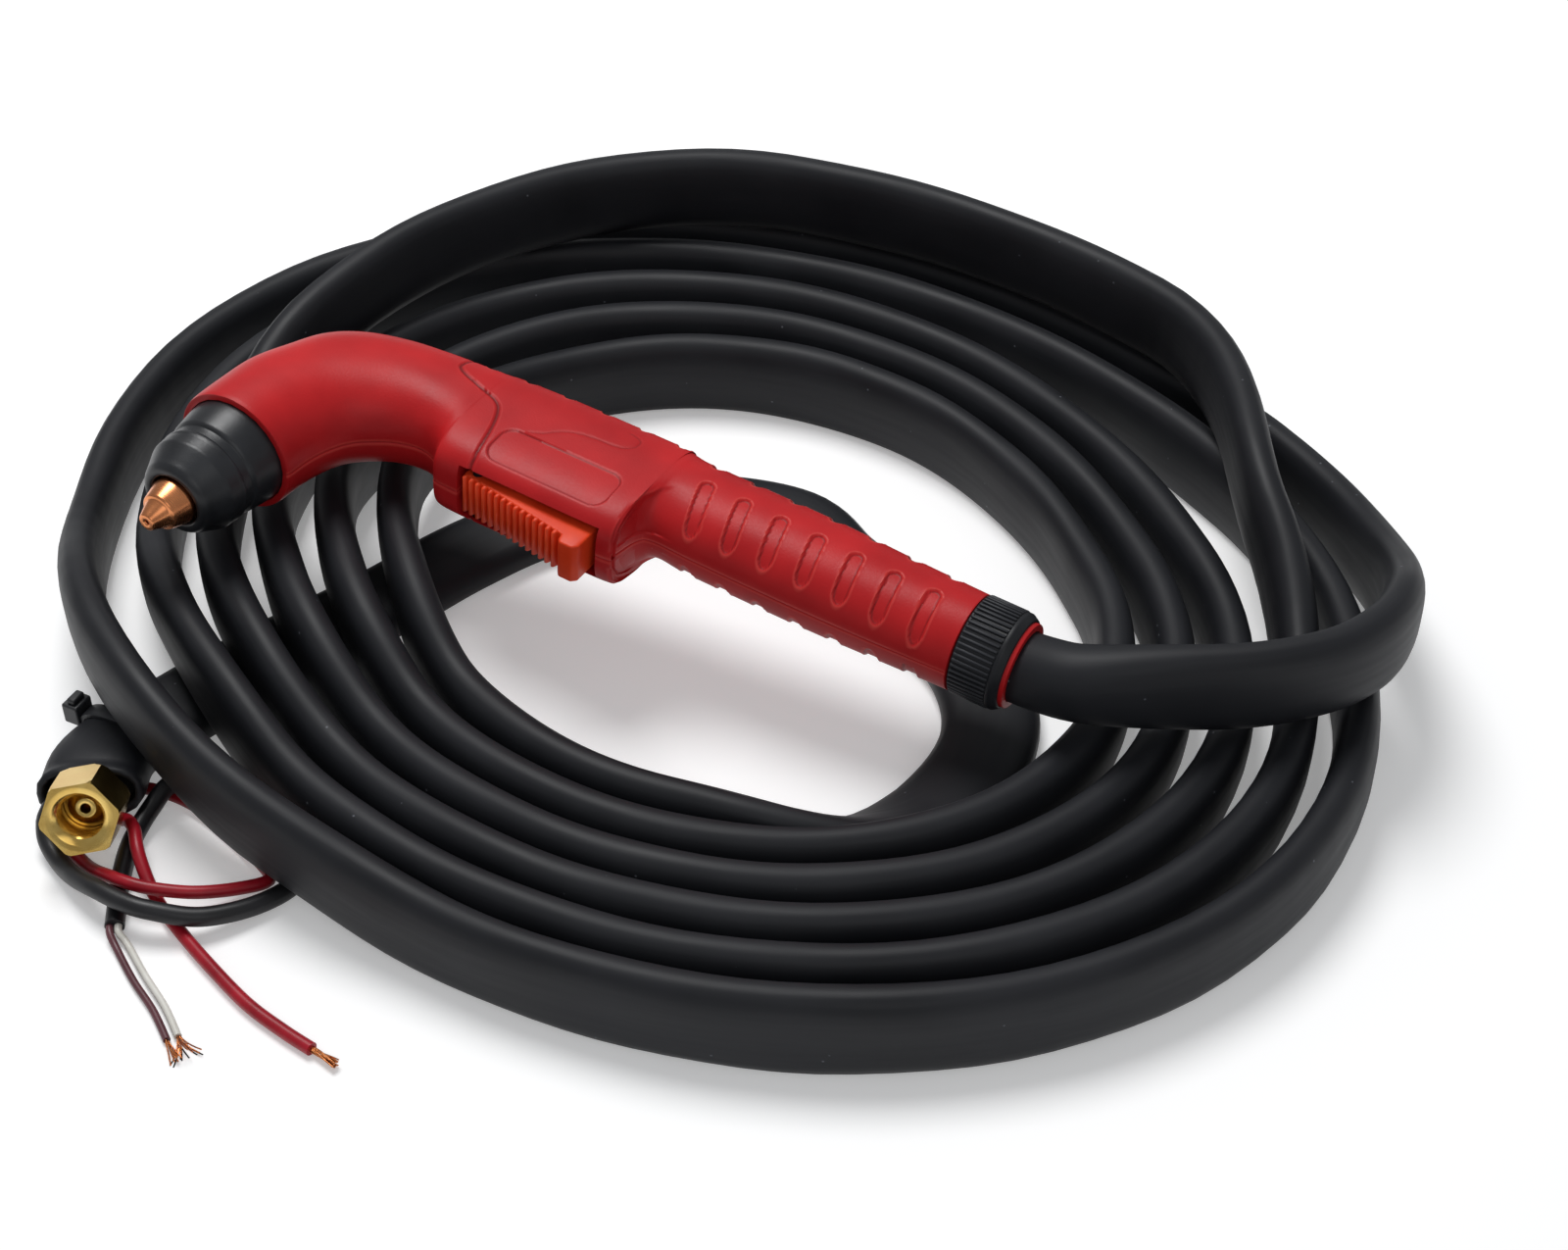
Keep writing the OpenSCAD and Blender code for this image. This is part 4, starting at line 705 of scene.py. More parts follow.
declare(leadSheath, "torch_and_lead", "sheath_rubber", sheathRubber, "lead_rise", "lead_coil", "lead_tail")
print("lead end made")

# handle shells: finger-side point, palm-side point, half thickness and squareness of each section
shell = {"wall": 2.2, "ringStep": 0.43, "outerCells": 128, "innerCells": 12, "recess": 0.6, "shallow": 0.4,
         "tailR": 11.6, "tailBore": 9.8, "tailRim": 0.9, "mouthBore": 15.85, "slot": (57.2, 100.7, 8.5, 33.3),
         "panel": (61.5, 98.5, 30.3, 43.2, 4), "labelDepth": 0.16, "scoop": 0.75, "scoopLong": 11,
         "parting": 0.2, "halfGirth": 47, "screwHole": (2.2, 2.65, 3.1), "screwFloor": 7.7}
ovals = {"count": 7, "top": ((117.2, 52.8, 0), (185.4, 50.4, 0)), "footX": (119.8, 185.9), "footY": 41.3,
         "footDrop": 0.4, "radius": 2.0, "edge": 0.35}
notches = {"count": 13, "x": (42.3, 186), "reach": 8.9, "radius": 2.1, "edge": 0.35}
shellStations = [
    (16.9, 5, -16.9, 5, 16.9, 2), (17.6, 6, -17.6, 6, 17.6, 2), (18.2, 13, -17.6, 16, 17.4, 2),
    (20, 20, -17, 29, 16.9, 2), (23.1, 25.5, -13.3, 41, 16.2, 2), (27.5, 29.4, -8, 52, 15.7, 2.1),
    (32, 32.2, 1, 59.5, 15.1, 2.2), (37, 33.8, 14, 64.2, 14.5, 2.3), (41.5, 33.8, 29, 66.3, 13.9, 2.5),
    (45.5, 32, 42, 66.9, 13.6, 2.8), (48.5, 28.1, 48, 67.3, 13.2, 3.2), (51.2, 25.5, 52, 67.5, 13, 3.6),
    (70, 25.5, 70, 68.1, 13, 3.8), (102, 25.5, 102, 68.7, 13, 3.6), (104.5, 27.9, 104.5, 68.7, 13, 3.2),
    (106.4, 36.1, 106.6, 68.8, 12.9, 2.6), (110, 38.7, 111, 68.8, 12.7, 2.3),
    (123, 38.3, 123, 68.9, 12.9, 2.2), (151, 38.1, 151, 68.5, 12.9, 2.2),
    (174, 38.5, 174, 67.5, 12.7, 2.1), (196, 39.5, 196, 66.5, 13, 2)]
wavePath = [(36.4, 69.3), (36.4, 58), (37.6, 55.4), (41, 53.6), (46, 52), (52, 50.2), (55.6, 46.5),
            (58.8, 37.4), (61.2, 22.5)]
labelPath = [(67, 43.9), (70.5, 45.8), (72.9, 48.2), (75.8, 50.3), (79.7, 51.6), (84.6, 52.2), (88, 52.4),
             (91.2, 53.2), (93.3, 55.2), (93.5, 57.8), (91.9, 59.3), (89, 60)]
creasePath = [(104.7, 25), (104.8, 34.3), (105.4, 40.7), (107.2, 46.1), (111, 50.5)]
screwPlaces = [(34.5, 60.6), (108, 61.6), (156, 61.4)]


def shellSections():
    p = np.array(shellStations, float)
    n = len(p) - 1
    out = []
    for i in range(n):
        span = max(np.linalg.norm(p[i + 1, :2] - p[i, :2]), np.linalg.norm(p[i + 1, 2:4] - p[i, 2:4]))
        steps = max(3, int(math.ceil(span / shell["ringStep"])))
        out += [curve4(p[max(i - 1, 0)], p[i], p[i + 1], p[min(i + 2, n)], k / steps) for k in range(steps)]
    return np.array(out + [p[n]])


def halfOutline(section, inset, at):  # from the palm edge over the side to the finger edge
    finger, palm = section[:2], section[2:4]
    middle, half = (finger + palm) / 2, (palm - finger) / 2
    r, h, aim = np.linalg.norm(half) - inset, section[4] - inset, unit(half)
    a = np.linspace(0, math.pi, 361)
    e = 2 / section[5]
    u, z = r * signedPower(np.cos(a), e), h * signedPower(np.sin(a), e)
    run = np.concatenate([[0], np.cumsum(np.hypot(np.diff(u), np.diff(z)))])
    u, z = np.interp(at * run[-1], run, u), np.interp(at * run[-1], run, z)
    return np.stack([middle[0] + aim[0] * u, middle[1] + aim[1] * u, z], 1)


outerAt = np.concatenate([[0, 0.003, 0.007, 0.014], np.linspace(0.024, 0.976, shell["outerCells"] - 7),
                          [0.986, 0.993, 0.997, 1]])
innerAt = np.linspace(1, 0, shell["innerCells"] + 1)


def roundedPlate(xy, x0, x1, y0, y1, r):  # signed distance to a plate with round corners
    q = np.abs(xy - np.array([(x0 + x1) / 2, (y0 + y1) / 2]))
    q = q - np.array([(x1 - x0) / 2 - r, (y1 - y0) / 2 - r])
    return np.linalg.norm(np.maximum(q, 0), axis=-1) + np.minimum(q.max(-1), 0) - r


def shellHalf(name, side):
    sections = shellSections()
    outer = np.array([halfOutline(s, 0, outerAt) for s in sections])
    inner = []
    for s in sections:
        wall = shell["wall"]
        if s[1] < 7:
            wall = s[4] - shell["mouthBore"]
        if s[0] > 189 or s[2] > 189:
            wall = max(wall, s[4] - shell["tailBore"])
        inner.append(halfOutline(s, wall, innerAt))
    inner = np.array(inner)
    # features pressed into the outer skin; their rims are marked lighter as painted highlight and their
    # hollows darker as painted shade
    along, acrossWay = np.gradient(outer, axis=0), np.gradient(outer, axis=1)
    normal = unit(np.cross(acrossWay, along) + 1e-12)
    middle = (sections[:, :2] + sections[:, 2:4]) / 2
    away = outer - np.stack([middle[:, 0], middle[:, 1], 0 * middle[:, 0]], 1)[:, None, :]
    normal *= np.sign((normal * away).sum(-1, keepdims=True))
    xy, z = outer[..., :2], outer[..., 2]
    wear = np.zeros(z.shape)
    depth = np.zeros(z.shape)
    groove = distanceToPath(xy, throughPoints(wavePath, 6))
    depth += shell["shallow"] * smooth((0.75 - groove) / 0.5)
    # painted highlight along the groove's rims and painted shade inside it
    wear += 0.4 * smooth((0.5 - np.abs(groove - 1.1)) / 0.5) - smooth((0.62 - groove) / 0.4)
    plate = roundedPlate(xy, *shell["panel"])
    onFlat = z > 4
    depth += np.where(onFlat, shell["shallow"] * smooth((0.25 - plate) / 0.5), 0)
    # painted highlight round the panel's edge and painted shade just inside it
    wear += np.where(onFlat, 0.4 * smooth((0.5 - np.abs(plate - 0.45)) / 0.5), 0)
    wear -= np.where(onFlat, 0.8 * smooth((0.4 - np.abs(plate + 0.15)) / 0.3), 0)
    label = distanceToPath(xy, throughPoints(labelPath, 5))
    depth += np.where(onFlat, shell["labelDepth"] * smooth((0.55 - label) / 0.4), 0)
    # painted highlight beside the label line and painted shade along it
    labelPaintedLight = 0.25 * smooth((0.4 - np.abs(label - 0.75)) / 0.4) - 0.6 * smooth((0.45 - label) / 0.35)
    wear += np.where(onFlat, labelPaintedLight, 0)
    # scoop behind the housing, its front edge crisp and painted lighter along the crease as a highlight
    crease = xy[..., 0] - np.interp(xy[..., 1], [q[1] for q in creasePath], [q[0] for q in creasePath])
    fading = smooth((50.5 - xy[..., 1]) / 9) * (z > 2.5)
    easing = 1 - smooth((crease - 1) / shell["scoopLong"])
    depth += shell["scoop"] * smooth((crease + 0.2) / 1.1) * easing * fading
    wear += 0.45 * smooth((0.55 - np.abs(crease + 0.3)) / 0.45) * fading
    # parting line between the halves, measured in millimetres round the girth; painted highlight along either
    # side of it and painted shade in it
    seam = np.minimum(outerAt, 1 - outerAt)[None, :] * shell["halfGirth"]
    depth += shell["parting"] * smooth((0.32 - seam) / 0.3)
    wear += 0.9 * smooth((0.6 - np.abs(seam - 0.55)) / 0.4) - 0.5 * smooth((0.25 - seam) / 0.2)
    outer = outer - normal * depth[..., None]
    if side < 0:
        for sx, sy in screwPlaces:
            away = outer[..., :2] - np.array([sx, sy])
            d = np.linalg.norm(away, axis=-1)
            bottom = outer[..., 2] > 5
            low, hole, high = shell["screwHole"]
            nearIn, nearOut = bottom & (d < hole), bottom & (d >= hole) & (d < high)
            for mask, to in ((nearIn & (d > low), hole - 0.05), (nearOut, hole + 0.05)):
                outer[mask, 0:2] = np.array([sx, sy]) + (away / np.maximum(d, 1e-6)[..., None])[mask] * to
            outer[nearIn, 2] = shell["screwFloor"]
    rings = np.concatenate([outer, inner], axis=1)
    # threaded tail under the collar
    last = rings[-1]
    count = len(outerAt)
    angles = np.arctan2(last[:count, 2], last[:count, 1] - torch["axisY"])
    innerAngles = np.arctan2(last[count:, 2], last[count:, 1] - torch["axisY"])

    def arc(x, r, at):
        return [(x, torch["axisY"] + r * math.cos(a), r * math.sin(a)) for a in at]

    end = collarEnd + shell["tailRim"]
    tail = [np.array(arc(x, r, angles) + arc(x, shell["tailBore"], innerAngles)) for x, r in
            ((196.15, 12.9), (196.2, shell["tailR"]), (203, shell["tailR"]), (end - 0.4, shell["tailR"]),
             (end - 0.1, shell["tailR"] - 0.12), (end, shell["tailR"] - 0.4))]
    rings = np.concatenate([rings, tail])
    m, n = rings.shape[:2]
    full = np.zeros((m, n))
    full[:len(sections), :count] = wear
    rings[..., 2] *= side
    mesh = bpy.data.meshes.new(name)
    i, j = [g.ravel() for g in np.meshgrid(np.arange(m - 1), np.arange(n), indexing="ij")]
    k = (j + 1) % n
    faces = np.stack([i * n + j, i * n + k, (i + 1) * n + k, (i + 1) * n + j], 1).tolist()
    faces += [list(range(n)), list(range((m - 1) * n, m * n))]
    mesh.from_pydata(rings.reshape(-1, 3).tolist(), [], faces)
    isOuter = np.zeros((m, n))
    isOuter[:len(sections), :count] = 1
    points = rings.reshape(-1, 3)
    skin = isOuter.ravel()
    for label, values in (("wear", full.ravel()), ("onSide", skin * (np.abs(points[:, 2]) > 3)),
                          ("onPalm", skin * (points[:, 1] > torch["axisY"] + 2)), ("skin", skin)):
        mesh.attributes.new(label, "FLOAT", "POINT").data.foreach_set("value", values.astype(np.float32))
    work = bmesh.new()
    work.from_mesh(mesh)
    bmesh.ops.recalc_face_normals(work, faces=work.faces)
    work.to_mesh(mesh)
    work.free()
    mesh.shade_smooth()
    return inScene(name, mesh)


def recessTree():  # a row of slots pressed into the surface along its normals
    tree, given = newTree("recessRow", Count="Int", FirstTop="Vector", LastTop="Vector", FirstFoot="Vector",
                          LastFoot="Vector", Flatten="Vector", Radius="Float", Depth="Float", Edge="Float",
                          Gate="String", Finish="Material")
    order = add(tree, "GeometryNodeInputIndex")
    less = add(tree, "ShaderNodeMath", {0: given["Count"], 1: 1.0}, operation="SUBTRACT")
    part = add(tree, "ShaderNodeMath", {0: order, 1: less}, operation="DIVIDE")
    top = add(tree, "ShaderNodeMix", {0: part, 4: given["FirstTop"], 5: given["LastTop"]},
              data_type="VECTOR", clamp_factor=False)
    foot = add(tree, "ShaderNodeMix", {0: part, 4: given["FirstFoot"], 5: given["LastFoot"]},
               data_type="VECTOR", clamp_factor=False)
    run = add(tree, "ShaderNodeVectorMath", {0: foot.outputs[1], 1: top.outputs[1]}, operation="SUBTRACT")
    dots = add(tree, "GeometryNodePoints", {"Count": given["Count"], "Position": top.outputs[1]})
    corners = add(tree, "GeometryNodePointsToVertices", {0: dots})
    lines = add(tree, "GeometryNodeExtrudeMesh", {"Mesh": corners, "Offset": run,
                                                  "Offset Scale": 1.0}, mode="VERTICES")
    here = add(tree, "GeometryNodeInputPosition")
    flat = add(tree, "ShaderNodeVectorMath", {0: here, 1: given["Flatten"]}, operation="MULTIPLY")
    near = add(tree, "GeometryNodeProximity", {0: lines, "Sample Position": flat},
               target_element="EDGES")
    low = add(tree, "ShaderNodeMath", {0: given["Radius"], 1: given["Edge"]}, operation="SUBTRACT")
    high = add(tree, "ShaderNodeMath", {0: given["Radius"], 1: given["Edge"]}, operation="ADD")
    pressed = add(tree, "ShaderNodeMapRange", {0: near.outputs["Distance"], 1: low, 2: high,
                                               3: 1.0, 4: 0.0}, interpolation_type="SMOOTHSTEP")
    rimAt = add(tree, "ShaderNodeMath", {0: near.outputs["Distance"], 1: high}, operation="SUBTRACT")
    rimOff = add(tree, "ShaderNodeMath", {0: rimAt}, operation="ABSOLUTE")
    rim = add(tree, "ShaderNodeMapRange", {0: rimOff, 1: 0.0, 2: 0.6, 3: 1.0, 4: 0.0},
              interpolation_type="SMOOTHSTEP")
    gate = add(tree, "GeometryNodeInputNamedAttribute", {"Name": given["Gate"]}, data_type="FLOAT")
    deep = add(tree, "ShaderNodeMath", {0: pressed, 1: given["Depth"]}, operation="MULTIPLY")
    raised = add(tree, "ShaderNodeMath", {0: rim, 1: 0.08}, operation="MULTIPLY")
    net = add(tree, "ShaderNodeMath", {0: raised, 1: deep}, operation="SUBTRACT")
    gated = add(tree, "ShaderNodeMath", {0: net, 1: gate}, operation="MULTIPLY")
    normal = add(tree, "GeometryNodeInputNormal")
    off = add(tree, "ShaderNodeVectorMath", {0: normal, "Scale": gated}, operation="SCALE")
    moved = add(tree, "GeometryNodeSetPosition", {0: given["Geometry"], "Offset": off})
    # the raised rim is stored lighter as painted highlight and the wall inside it darker as painted shade
    before = add(tree, "GeometryNodeInputNamedAttribute", {"Name": "wear"}, data_type="FLOAT")
    wallAt = add(tree, "ShaderNodeMath", {0: near.outputs["Distance"], 1: low}, operation="SUBTRACT")
    wallOff = add(tree, "ShaderNodeMath", {0: wallAt}, operation="ABSOLUTE")
    wall = add(tree, "ShaderNodeMapRange", {0: wallOff, 1: 0.05, 2: 0.45, 3: 0.85, 4: 0.0},
               interpolation_type="SMOOTHSTEP")
    shade = add(tree, "ShaderNodeMath", {0: rim, 1: wall}, operation="SUBTRACT")
    fresh = add(tree, "ShaderNodeMath", {0: shade, 1: gate}, operation="MULTIPLY")
    both = add(tree, "ShaderNodeMath", {0: before, 1: fresh}, operation="ADD")
    kept = add(tree, "GeometryNodeStoreNamedAttribute", {0: moved, "Name": "wear", "Value": both},
               data_type="FLOAT", domain="POINT")
    endTree(tree, kept, given["Finish"])
    return tree


def cutSlot(piece, side):  # opening for the trigger, with walls going in
    x0, x1, halfWide, deep = shell["slot"]
    work = bmesh.new()
    work.from_mesh(piece.data)
    skin = work.verts.layers.float["skin"]
    for place, way in (((x0, 0, 0), (1, 0, 0)), ((x1, 0, 0), (1, 0, 0)),
                       ((0, 0, halfWide * side), (0, 0, 1))):
        near = [f for f in work.faces if x0 - 3 < f.calc_center_median().x < x1 + 3
                and f.calc_center_median().y < deep]
        geometry = list({v for f in near for v in f.verts}) + list({e for f in near for e in f.edges}) + near
        bmesh.ops.bisect_plane(work, geom=geometry, plane_co=place, plane_no=way, dist=1e-4)
    gone = [f for f in work.faces if x0 < f.calc_center_median().x < x1 and f.calc_center_median().y < deep
            and abs(f.calc_center_median().z) < halfWide]
    bmesh.ops.delete(work, geom=gone, context="FACES")
    rimEdges = [e for e in work.edges if e.is_boundary and all(v[skin] > 0.5 for v in e.verts)]
    pulled = bmesh.ops.extrude_edge_only(work, edges=rimEdges)["geom"]
    for v in pulled:
        if isinstance(v, bmesh.types.BMVert):
            v.co.y = deep
            v[skin] = 0
    bmesh.ops.recalc_face_normals(work, faces=work.faces)
    work.to_mesh(piece.data)
    work.free()


recessRow = recessTree()
for name, node, side in (("upperShell", "shell_upper", 1), ("lowerShell", "shell_lower", -1)):
    piece = shellHalf(name, side)
    footY = ovals["footY"] + ovals["footDrop"] * side
    runTree(piece, recessRow, Count=ovals["count"], FirstTop=ovals["top"][0], LastTop=ovals["top"][1],
            FirstFoot=(ovals["footX"][0], footY, 0), LastFoot=(ovals["footX"][1], footY, 0),
            Flatten=(1, 1, 0), Radius=ovals["radius"], Depth=shell["recess"], Edge=ovals["edge"],
            Gate="onSide", Finish=redShell)
    (firstX, lastX), reach = notches["x"], notches["reach"]
    runTree(piece, recessRow, Count=notches["count"], FirstTop=(firstX, 0, -reach),
            LastTop=(lastX, 0, -reach), FirstFoot=(firstX, 0, reach), LastFoot=(lastX, 0, reach),
            Flatten=(1, 0, 1), Radius=notches["radius"], Depth=shell["recess"], Edge=notches["edge"],
            Gate="onPalm", Finish=redShell)
    cutSlot(piece, side)
    posed(piece, torchPose)
    piece.data.shade_smooth()
    piece.data.set_sharp_from_angle(angle=math.radians(38))
    declare(piece, "torch_and_lead", "red_shell", None, node)
    print("shell made:", name, len(piece.data.polygons), "faces")

# trigger: a solid block with a row of grip ribs
trigger = {"x": (58.4, 98.9), "width": 12.2, "height": 6.6, "ribs": 15, "groove": 1.1, "block": 7.0,
           "backY": 31.7, "ribRise": 1.4, "ribWide": 1.35, "pin": (3.2, 3.6), "pinR": 1.5, "pinHalf": 9.7}
ribRun = trigger["x"][1] - trigger["x"][0] - trigger["block"]
ribPitch = ribRun / trigger["ribs"]


def ribFace(x):
    return torch["housingY"] + 0.6 - (trigger["height"] - trigger["ribRise"]) * (x - trigger["x"][0]) / ribRun


def barPiece(name, wide, high, long):  # one rounded rib, standing on z = 0 and lying along y
    half = [(-wide / 2, 0), (-wide / 2, high * 0.55), (-wide * 0.36, high * 0.88), (-wide * 0.14, high),
            (wide * 0.14, high), (wide * 0.36, high * 0.88), (wide / 2, high * 0.55), (wide / 2, 0)]
    rings = [[(x * k, y, max(0, z * k - (1 - k) * 0.3)) for x, z in half]
             for y, k in ((-long / 2, 0.7), (-long / 2 + 0.35, 1), (long / 2 - 0.35, 1), (long / 2, 0.7))]
    piece = ringGrid(name, rings, None, sharp=60)
    # the rib is marked paler towards its tip; on the trigger this is painted highlight
    heights = np.array([v.co.z for v in piece.data.vertices])
    piece.data.attributes.new("wear", "FLOAT", "POINT").data.foreach_set(
        "value", np.clip((heights / high - 0.6) * 2.2, 0, 1).astype(np.float32))
    return piece


def rowTree():  # copies of one bar along a line or round a ring
    tree, given = newTree("ribRow", Count="Int", Start="Vector", Step="Vector", Turn="Vector", Radius="Float",
                          Bar="Object", Finish="Material")
    order = add(tree, "GeometryNodeInputIndex")
    shift = add(tree, "ShaderNodeVectorMath", {0: given["Step"], "Scale": order}, operation="SCALE")
    line = add(tree, "ShaderNodeVectorMath", {0: given["Start"], 1: shift}, operation="ADD")
    dots = add(tree, "GeometryNodePoints", {"Count": given["Count"], "Position": line})
    bar = add(tree, "GeometryNodeObjectInfo", {"Object": given["Bar"]})
    turn = add(tree, "ShaderNodeVectorMath", {0: given["Turn"], "Scale": order}, operation="SCALE")
    placed = add(tree, "GeometryNodeInstanceOnPoints", {"Points": dots, "Instance": bar.outputs["Geometry"]})
    out = add(tree, "ShaderNodeCombineXYZ", {2: given["Radius"]})
    outward = add(tree, "GeometryNodeTranslateInstances", {0: placed, "Translation": out})
    spun = add(tree, "GeometryNodeRotateInstances", {0: outward, "Rotation": turn,
                                                     "Pivot Point": (0, 0, 0), "Local Space": False})
    endTree(tree, spun, given["Finish"])
    return tree


ribRow = rowTree()
tx0, tx1 = trigger["x"]
blockY = torch["housingY"] - trigger["height"]
blockX = tx1 - trigger["block"]
outline = [(tx0, trigger["backY"]), (tx0, ribFace(tx0) + trigger["groove"]),
           (blockX + 0.6, ribFace(blockX) + trigger["groove"]), (blockX + 0.9, blockY + 1.2),
           (blockX + 1.8, blockY), (tx1 - 1.4, blockY), (tx1, blockY + 1.4), (tx1, trigger["backY"])]
flatCount = len(outline)
blockPoints = [(x, y, z) for z in (-trigger["width"] / 2, trigger["width"] / 2) for x, y in outline]
blockFaces = [list(range(flatCount)), list(range(flatCount, 2 * flatCount))]
for k in range(flatCount):
    after = (k + 1) % flatCount
    blockFaces.append([k, after, after + flatCount, k + flatCount])
triggerBody = meshPiece("triggerBody", blockPoints, blockFaces)
bevelled(triggerBody, 0.55, 3)
triggerBody.data.attributes.new("wear", "FLOAT", "POINT")
posed(triggerBody, torchPose)
triggerBody.data.shade_smooth()
triggerBody.data.set_sharp_from_angle(angle=math.radians(40))
slope = math.atan2(trigger["height"] - trigger["ribRise"], ribRun)
ribBar = barPiece("ribBar", trigger["ribWide"], trigger["groove"] + 0.9, trigger["width"] - 0.1)
triggerRibs = runTree(emptyPiece("triggerRibs"), ribRow, Count=trigger["ribs"], Start=(0, 0, 0),
                      Step=(ribPitch / math.cos(slope), 0, 0), Turn=(0, 0, 0), Radius=0.0, Bar=ribBar,
                      Finish=redTrigger)
firstRib = tx0 + 0.4 + ribPitch * 0.28
posed(triggerRibs, torchPose @ Matrix.Translation((firstRib, ribFace(firstRib) + trigger["groove"] + 0.6, 0))
      @ Matrix.Rotation(-slope, 4, "Z") @ Matrix.Rotation(math.radians(90), 4, "X"))
pinR, pinHalf = trigger["pinR"], trigger["pinHalf"]
pinProfile = rounded([(0.05, -pinHalf), (pinR, -pinHalf), (pinR, pinHalf), (0.05, pinHalf)], 0.3, 2)
pinPlace = Matrix.Translation((tx0 + trigger["pin"][0], torch["housingY"] + trigger["pin"][1], 0))
triggerPin = lathe("triggerPin", pinProfile, torchPose @ pinPlace, 32, loop=False)
# the pin's dark finish is painted shade, so that the slot reads dark round it
declare(triggerPin, "torch_and_lead", "steel", blackedSteel, "trigger_pin")
for piece in (triggerBody, triggerRibs):
    declare(piece, "trigger", "red_trigger", redTrigger, "trigger")
print("trigger made")

# shield cap and nozzle, given as radius and distance towards the tip
capProfile = rounded([
    (12.4, -11), (14.6, -11), (15.5, -10), (15.5, -5), (15.3, -2.5), (14.4, 3.4), (14.0, 4.1), (13.55, 4.5),
    (13.45, 6.9), (13.7, 7.2), (14.05, 7.5), (14.05, 8.3), (13.9, 8.8), (13.75, 12.2), (13.3, 13.2),
    (11.3, 17.2), (10.7, 18.6), (9.8, 19.6), (8.9, 20), (7.7, 19.9), (7.25, 19.3), (7.2, 17.5), (9.6, 15),
    (12.4, 11)], 0.5, 4)
shieldCap = lathe("shieldCap", capProfile, alongNozzle, 128, sharp=50)
tipProfile = rounded([
    (4.6, 11.6), (9.2, 11.6), (9.2, 14.6), (6.9, 16.2), (6.7, 20.3), (5.35, 25.3), (5.1, 25.7), (4.3, 25.9),
    (2.5, 30.3), (2.2, 30.6), (0.95, 30.6), (0.55, 30.2), (0.55, 26), (4.6, 23)], 0.18, 2)
nozzleTip = lathe("nozzleTip", tipProfile, alongNozzle, 96, sharp=40)
declare(shieldCap, "cap", "black_moulding", capMoulding, "shield_cap")
declare(nozzleTip, "torch_and_lead", "turned_copper", turnedCopper, "nozzle_tip")

# rear collar: a turned body with fine ribs round its front
collar = {"r": 13.5, "ribs": 54, "ribLong": 10.6, "ribWide": 0.8, "ribHigh": 0.62, "ribFrom": 0.3, "gap": 0.3}
collarProfile = rounded([
    (11.75, 0), (12.7, 0), (13.1, 0.35), (13.1, 0.9), (12.95, 1.0), (12.95, 10.8), (13.3, 11.1), (13.3, 12.0),
    (12.3, 13.7), (12.0, 13.9), (11.75, 13.9)], 0.3, 3)
rearCollar = lathe("rearCollar", collarProfile, alongHandle(torch["gripEnd"] + collar["gap"]), 128,
                   sharp=50)
collarBar = barPiece("collarBar", collar["ribWide"], collar["ribHigh"], collar["ribLong"])
collarRibs = runTree(emptyPiece("collarRibs"), ribRow, Count=collar["ribs"], Start=(0, 0, 0), Step=(0, 0, 0),
                     Turn=(0, 2 * math.pi / collar["ribs"], 0), Radius=collar["r"] - 0.6, Bar=collarBar,
                     Finish=collarMoulding)
posed(collarRibs, alongHandle(torch["gripEnd"] + collar["gap"] + collar["ribFrom"] + collar["ribLong"] / 2)
      @ Matrix.Rotation(math.radians(-90), 4, "X"))
rearCollar.data.attributes.new("wear", "FLOAT", "POINT")
for piece in (rearCollar, collarRibs):
    declare(piece, "collar", "black_moulding", collarMoulding, "rear_collar")
for bar in (ribBar, collarBar):
    bpy.data.objects.remove(bar)
print("cap, nozzle and collar made")

# finishes of the solids that stay as they are
kept = {"shell_screws": zincSteel, "head_body": headInsulator, "power_tube": tubeBrass,
        "power_hose": hoseRubber, "swirl_ring": swirlInsulator, "electrode": electrodeCopper,
        "hafnium_insert": hafniumGrey, "cap_o_ring": sealRubber, "trigger_spring": zincSteel,
        "switch_body": switchPlastic, "switch_plunger": buttonPlastic, "cable_clamp": switchPlastic}
for node, material in kept.items():
    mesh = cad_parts[node].data
    mesh.materials.clear()
    mesh.materials.append(material)
print("kept solids finished:", len(kept))

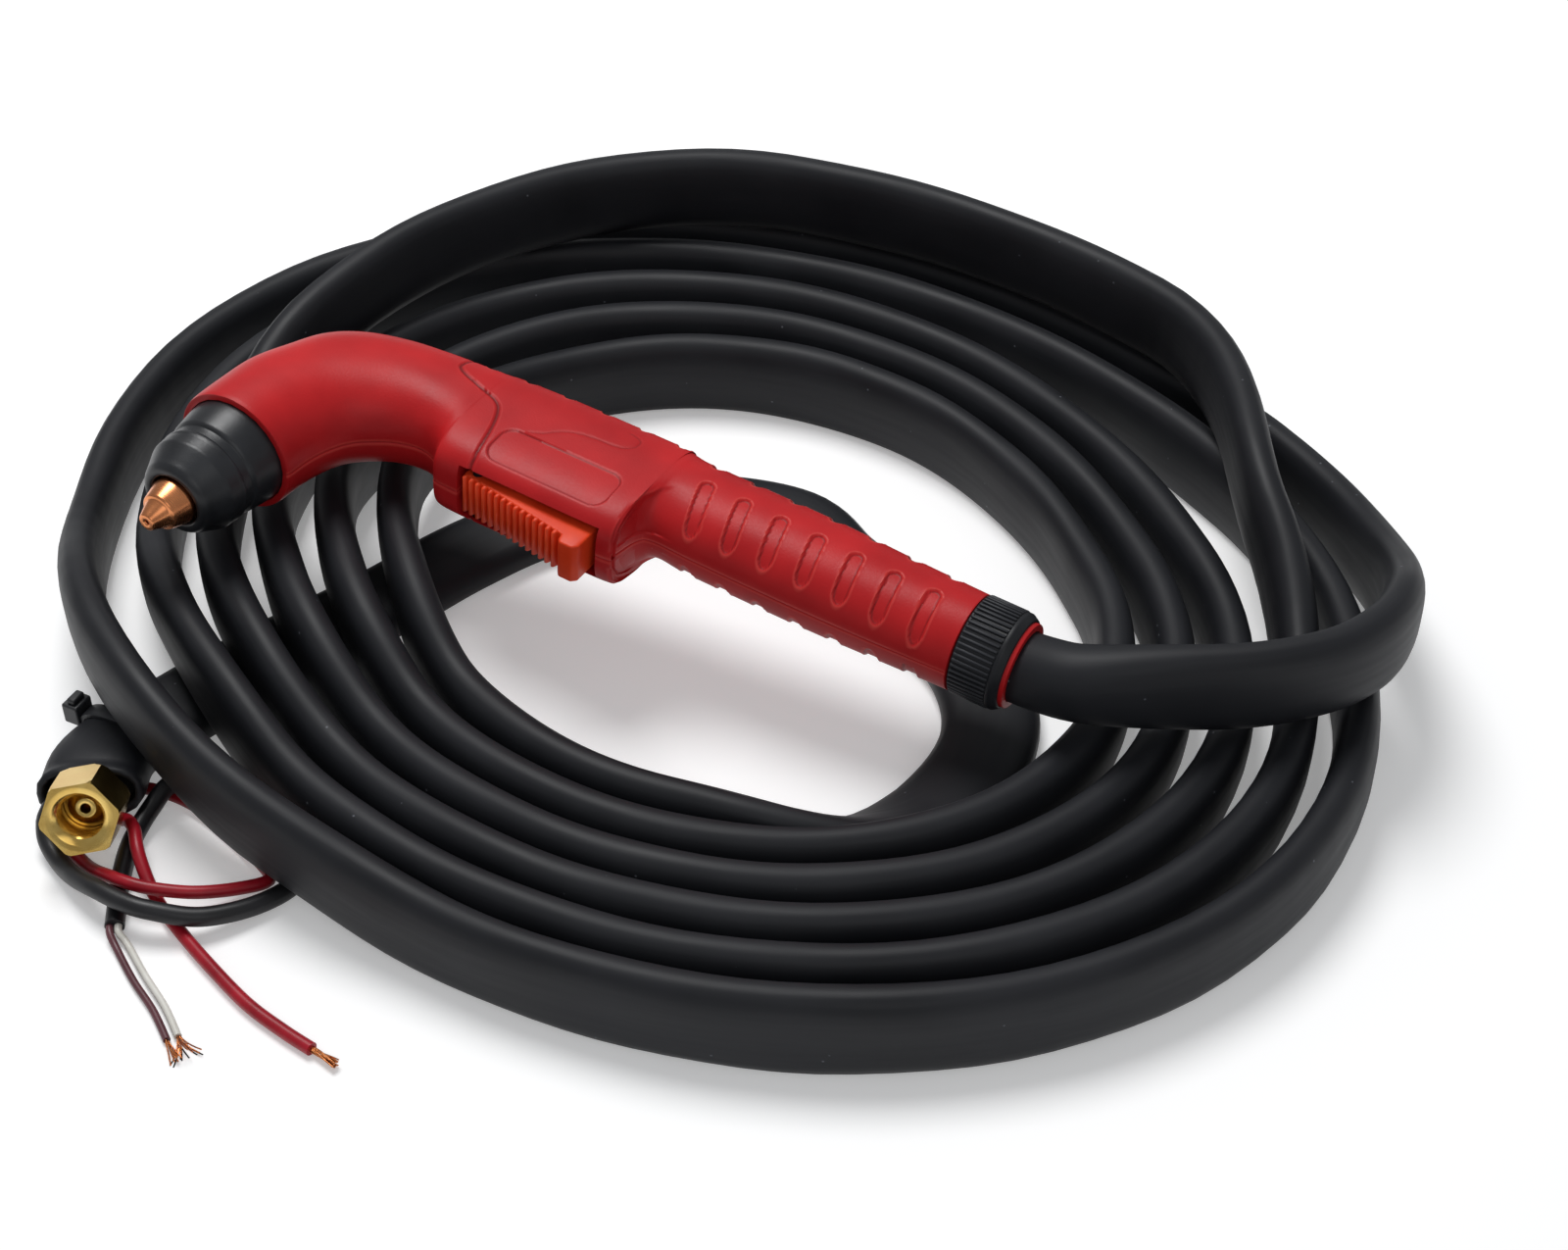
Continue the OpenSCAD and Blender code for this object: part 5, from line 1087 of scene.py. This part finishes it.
# floor, lamps and sky
stage = {"size": 6.0, "tone": "#f2f2f2", "seen": 0.26, "aim": (0.1, 0.05, 0), "key": 13.0,
         "keyPlace": (-0.35, 0.35, 1.25), "keySize": 0.7, "fill": 2.5, "fillPlace": (1.0, -0.9, 1.1),
         "fillSize": 1.0, "skyTone": "#f2f4f7", "sky": 0.36}
floorMesh = bpy.data.meshes.new("floor")
h, level = stage["size"] / 2, floorZ * mm
floorMesh.from_pydata([(-h, -h, level), (h, -h, level), (h, h, level), (-h, h, level)], [], [(0, 1, 2, 3)])
floor = inScene("floor", floorMesh)
floorFinish = bpy.data.materials.new("palePaper")
floorFinish.use_nodes = True
floorTree = floorFinish.node_tree
floorShader = floorTree.nodes["Principled BSDF"]
floorShader.inputs["Base Color"].default_value = colour(stage["tone"])
floorShader.inputs["Roughness"].default_value = 0.75
floorShader.inputs["Specular IOR Level"].default_value = 0.2
rays = add(floorTree, "ShaderNodeLightPath")
lens = add(floorTree, "ShaderNodeMath", {0: rays.outputs["Is Camera Ray"], 1: rays.outputs["Is Glossy Ray"]},
           operation="MAXIMUM")
glow = add(floorTree, "ShaderNodeMath", {0: lens, 1: stage["seen"]}, operation="MULTIPLY")
floorShader.inputs["Emission Color"].default_value = (1, 1, 1, 1)
floorTree.links.new(glow.outputs[0], floorShader.inputs["Emission Strength"])
floorMesh.materials.append(floorFinish)


def lamp(name, place, aim, size, power):
    data = bpy.data.lights.new(name, "AREA")
    data.shape = "DISK"
    data.size = size
    data.energy = power
    made = inScene(name, data)
    made.location = place
    made.rotation_euler = (Vector(aim) - Vector(place)).to_track_quat("-Z", "Y").to_euler()


lamp("keyLamp", stage["keyPlace"], stage["aim"], stage["keySize"], stage["key"])
lamp("fillLamp", stage["fillPlace"], stage["aim"], stage["fillSize"], stage["fill"])
sky = bpy.data.worlds.new("sky")
sky.use_nodes = True
sky.node_tree.nodes["Background"].inputs["Color"].default_value = colour(stage["skyTone"])
skyRays = add(sky.node_tree, "ShaderNodeLightPath")  # white to the camera, dimmer as a light
skyStrength = add(sky.node_tree, "ShaderNodeMapRange", {0: skyRays.outputs["Is Camera Ray"],
                                                        3: stage["sky"], 4: 1.0})
sky.node_tree.links.new(skyStrength.outputs[0], sky.node_tree.nodes["Background"].inputs["Strength"])
bpy.context.scene.world = sky
bpy.context.scene.view_settings.view_transform = "Standard"
print("stage set")
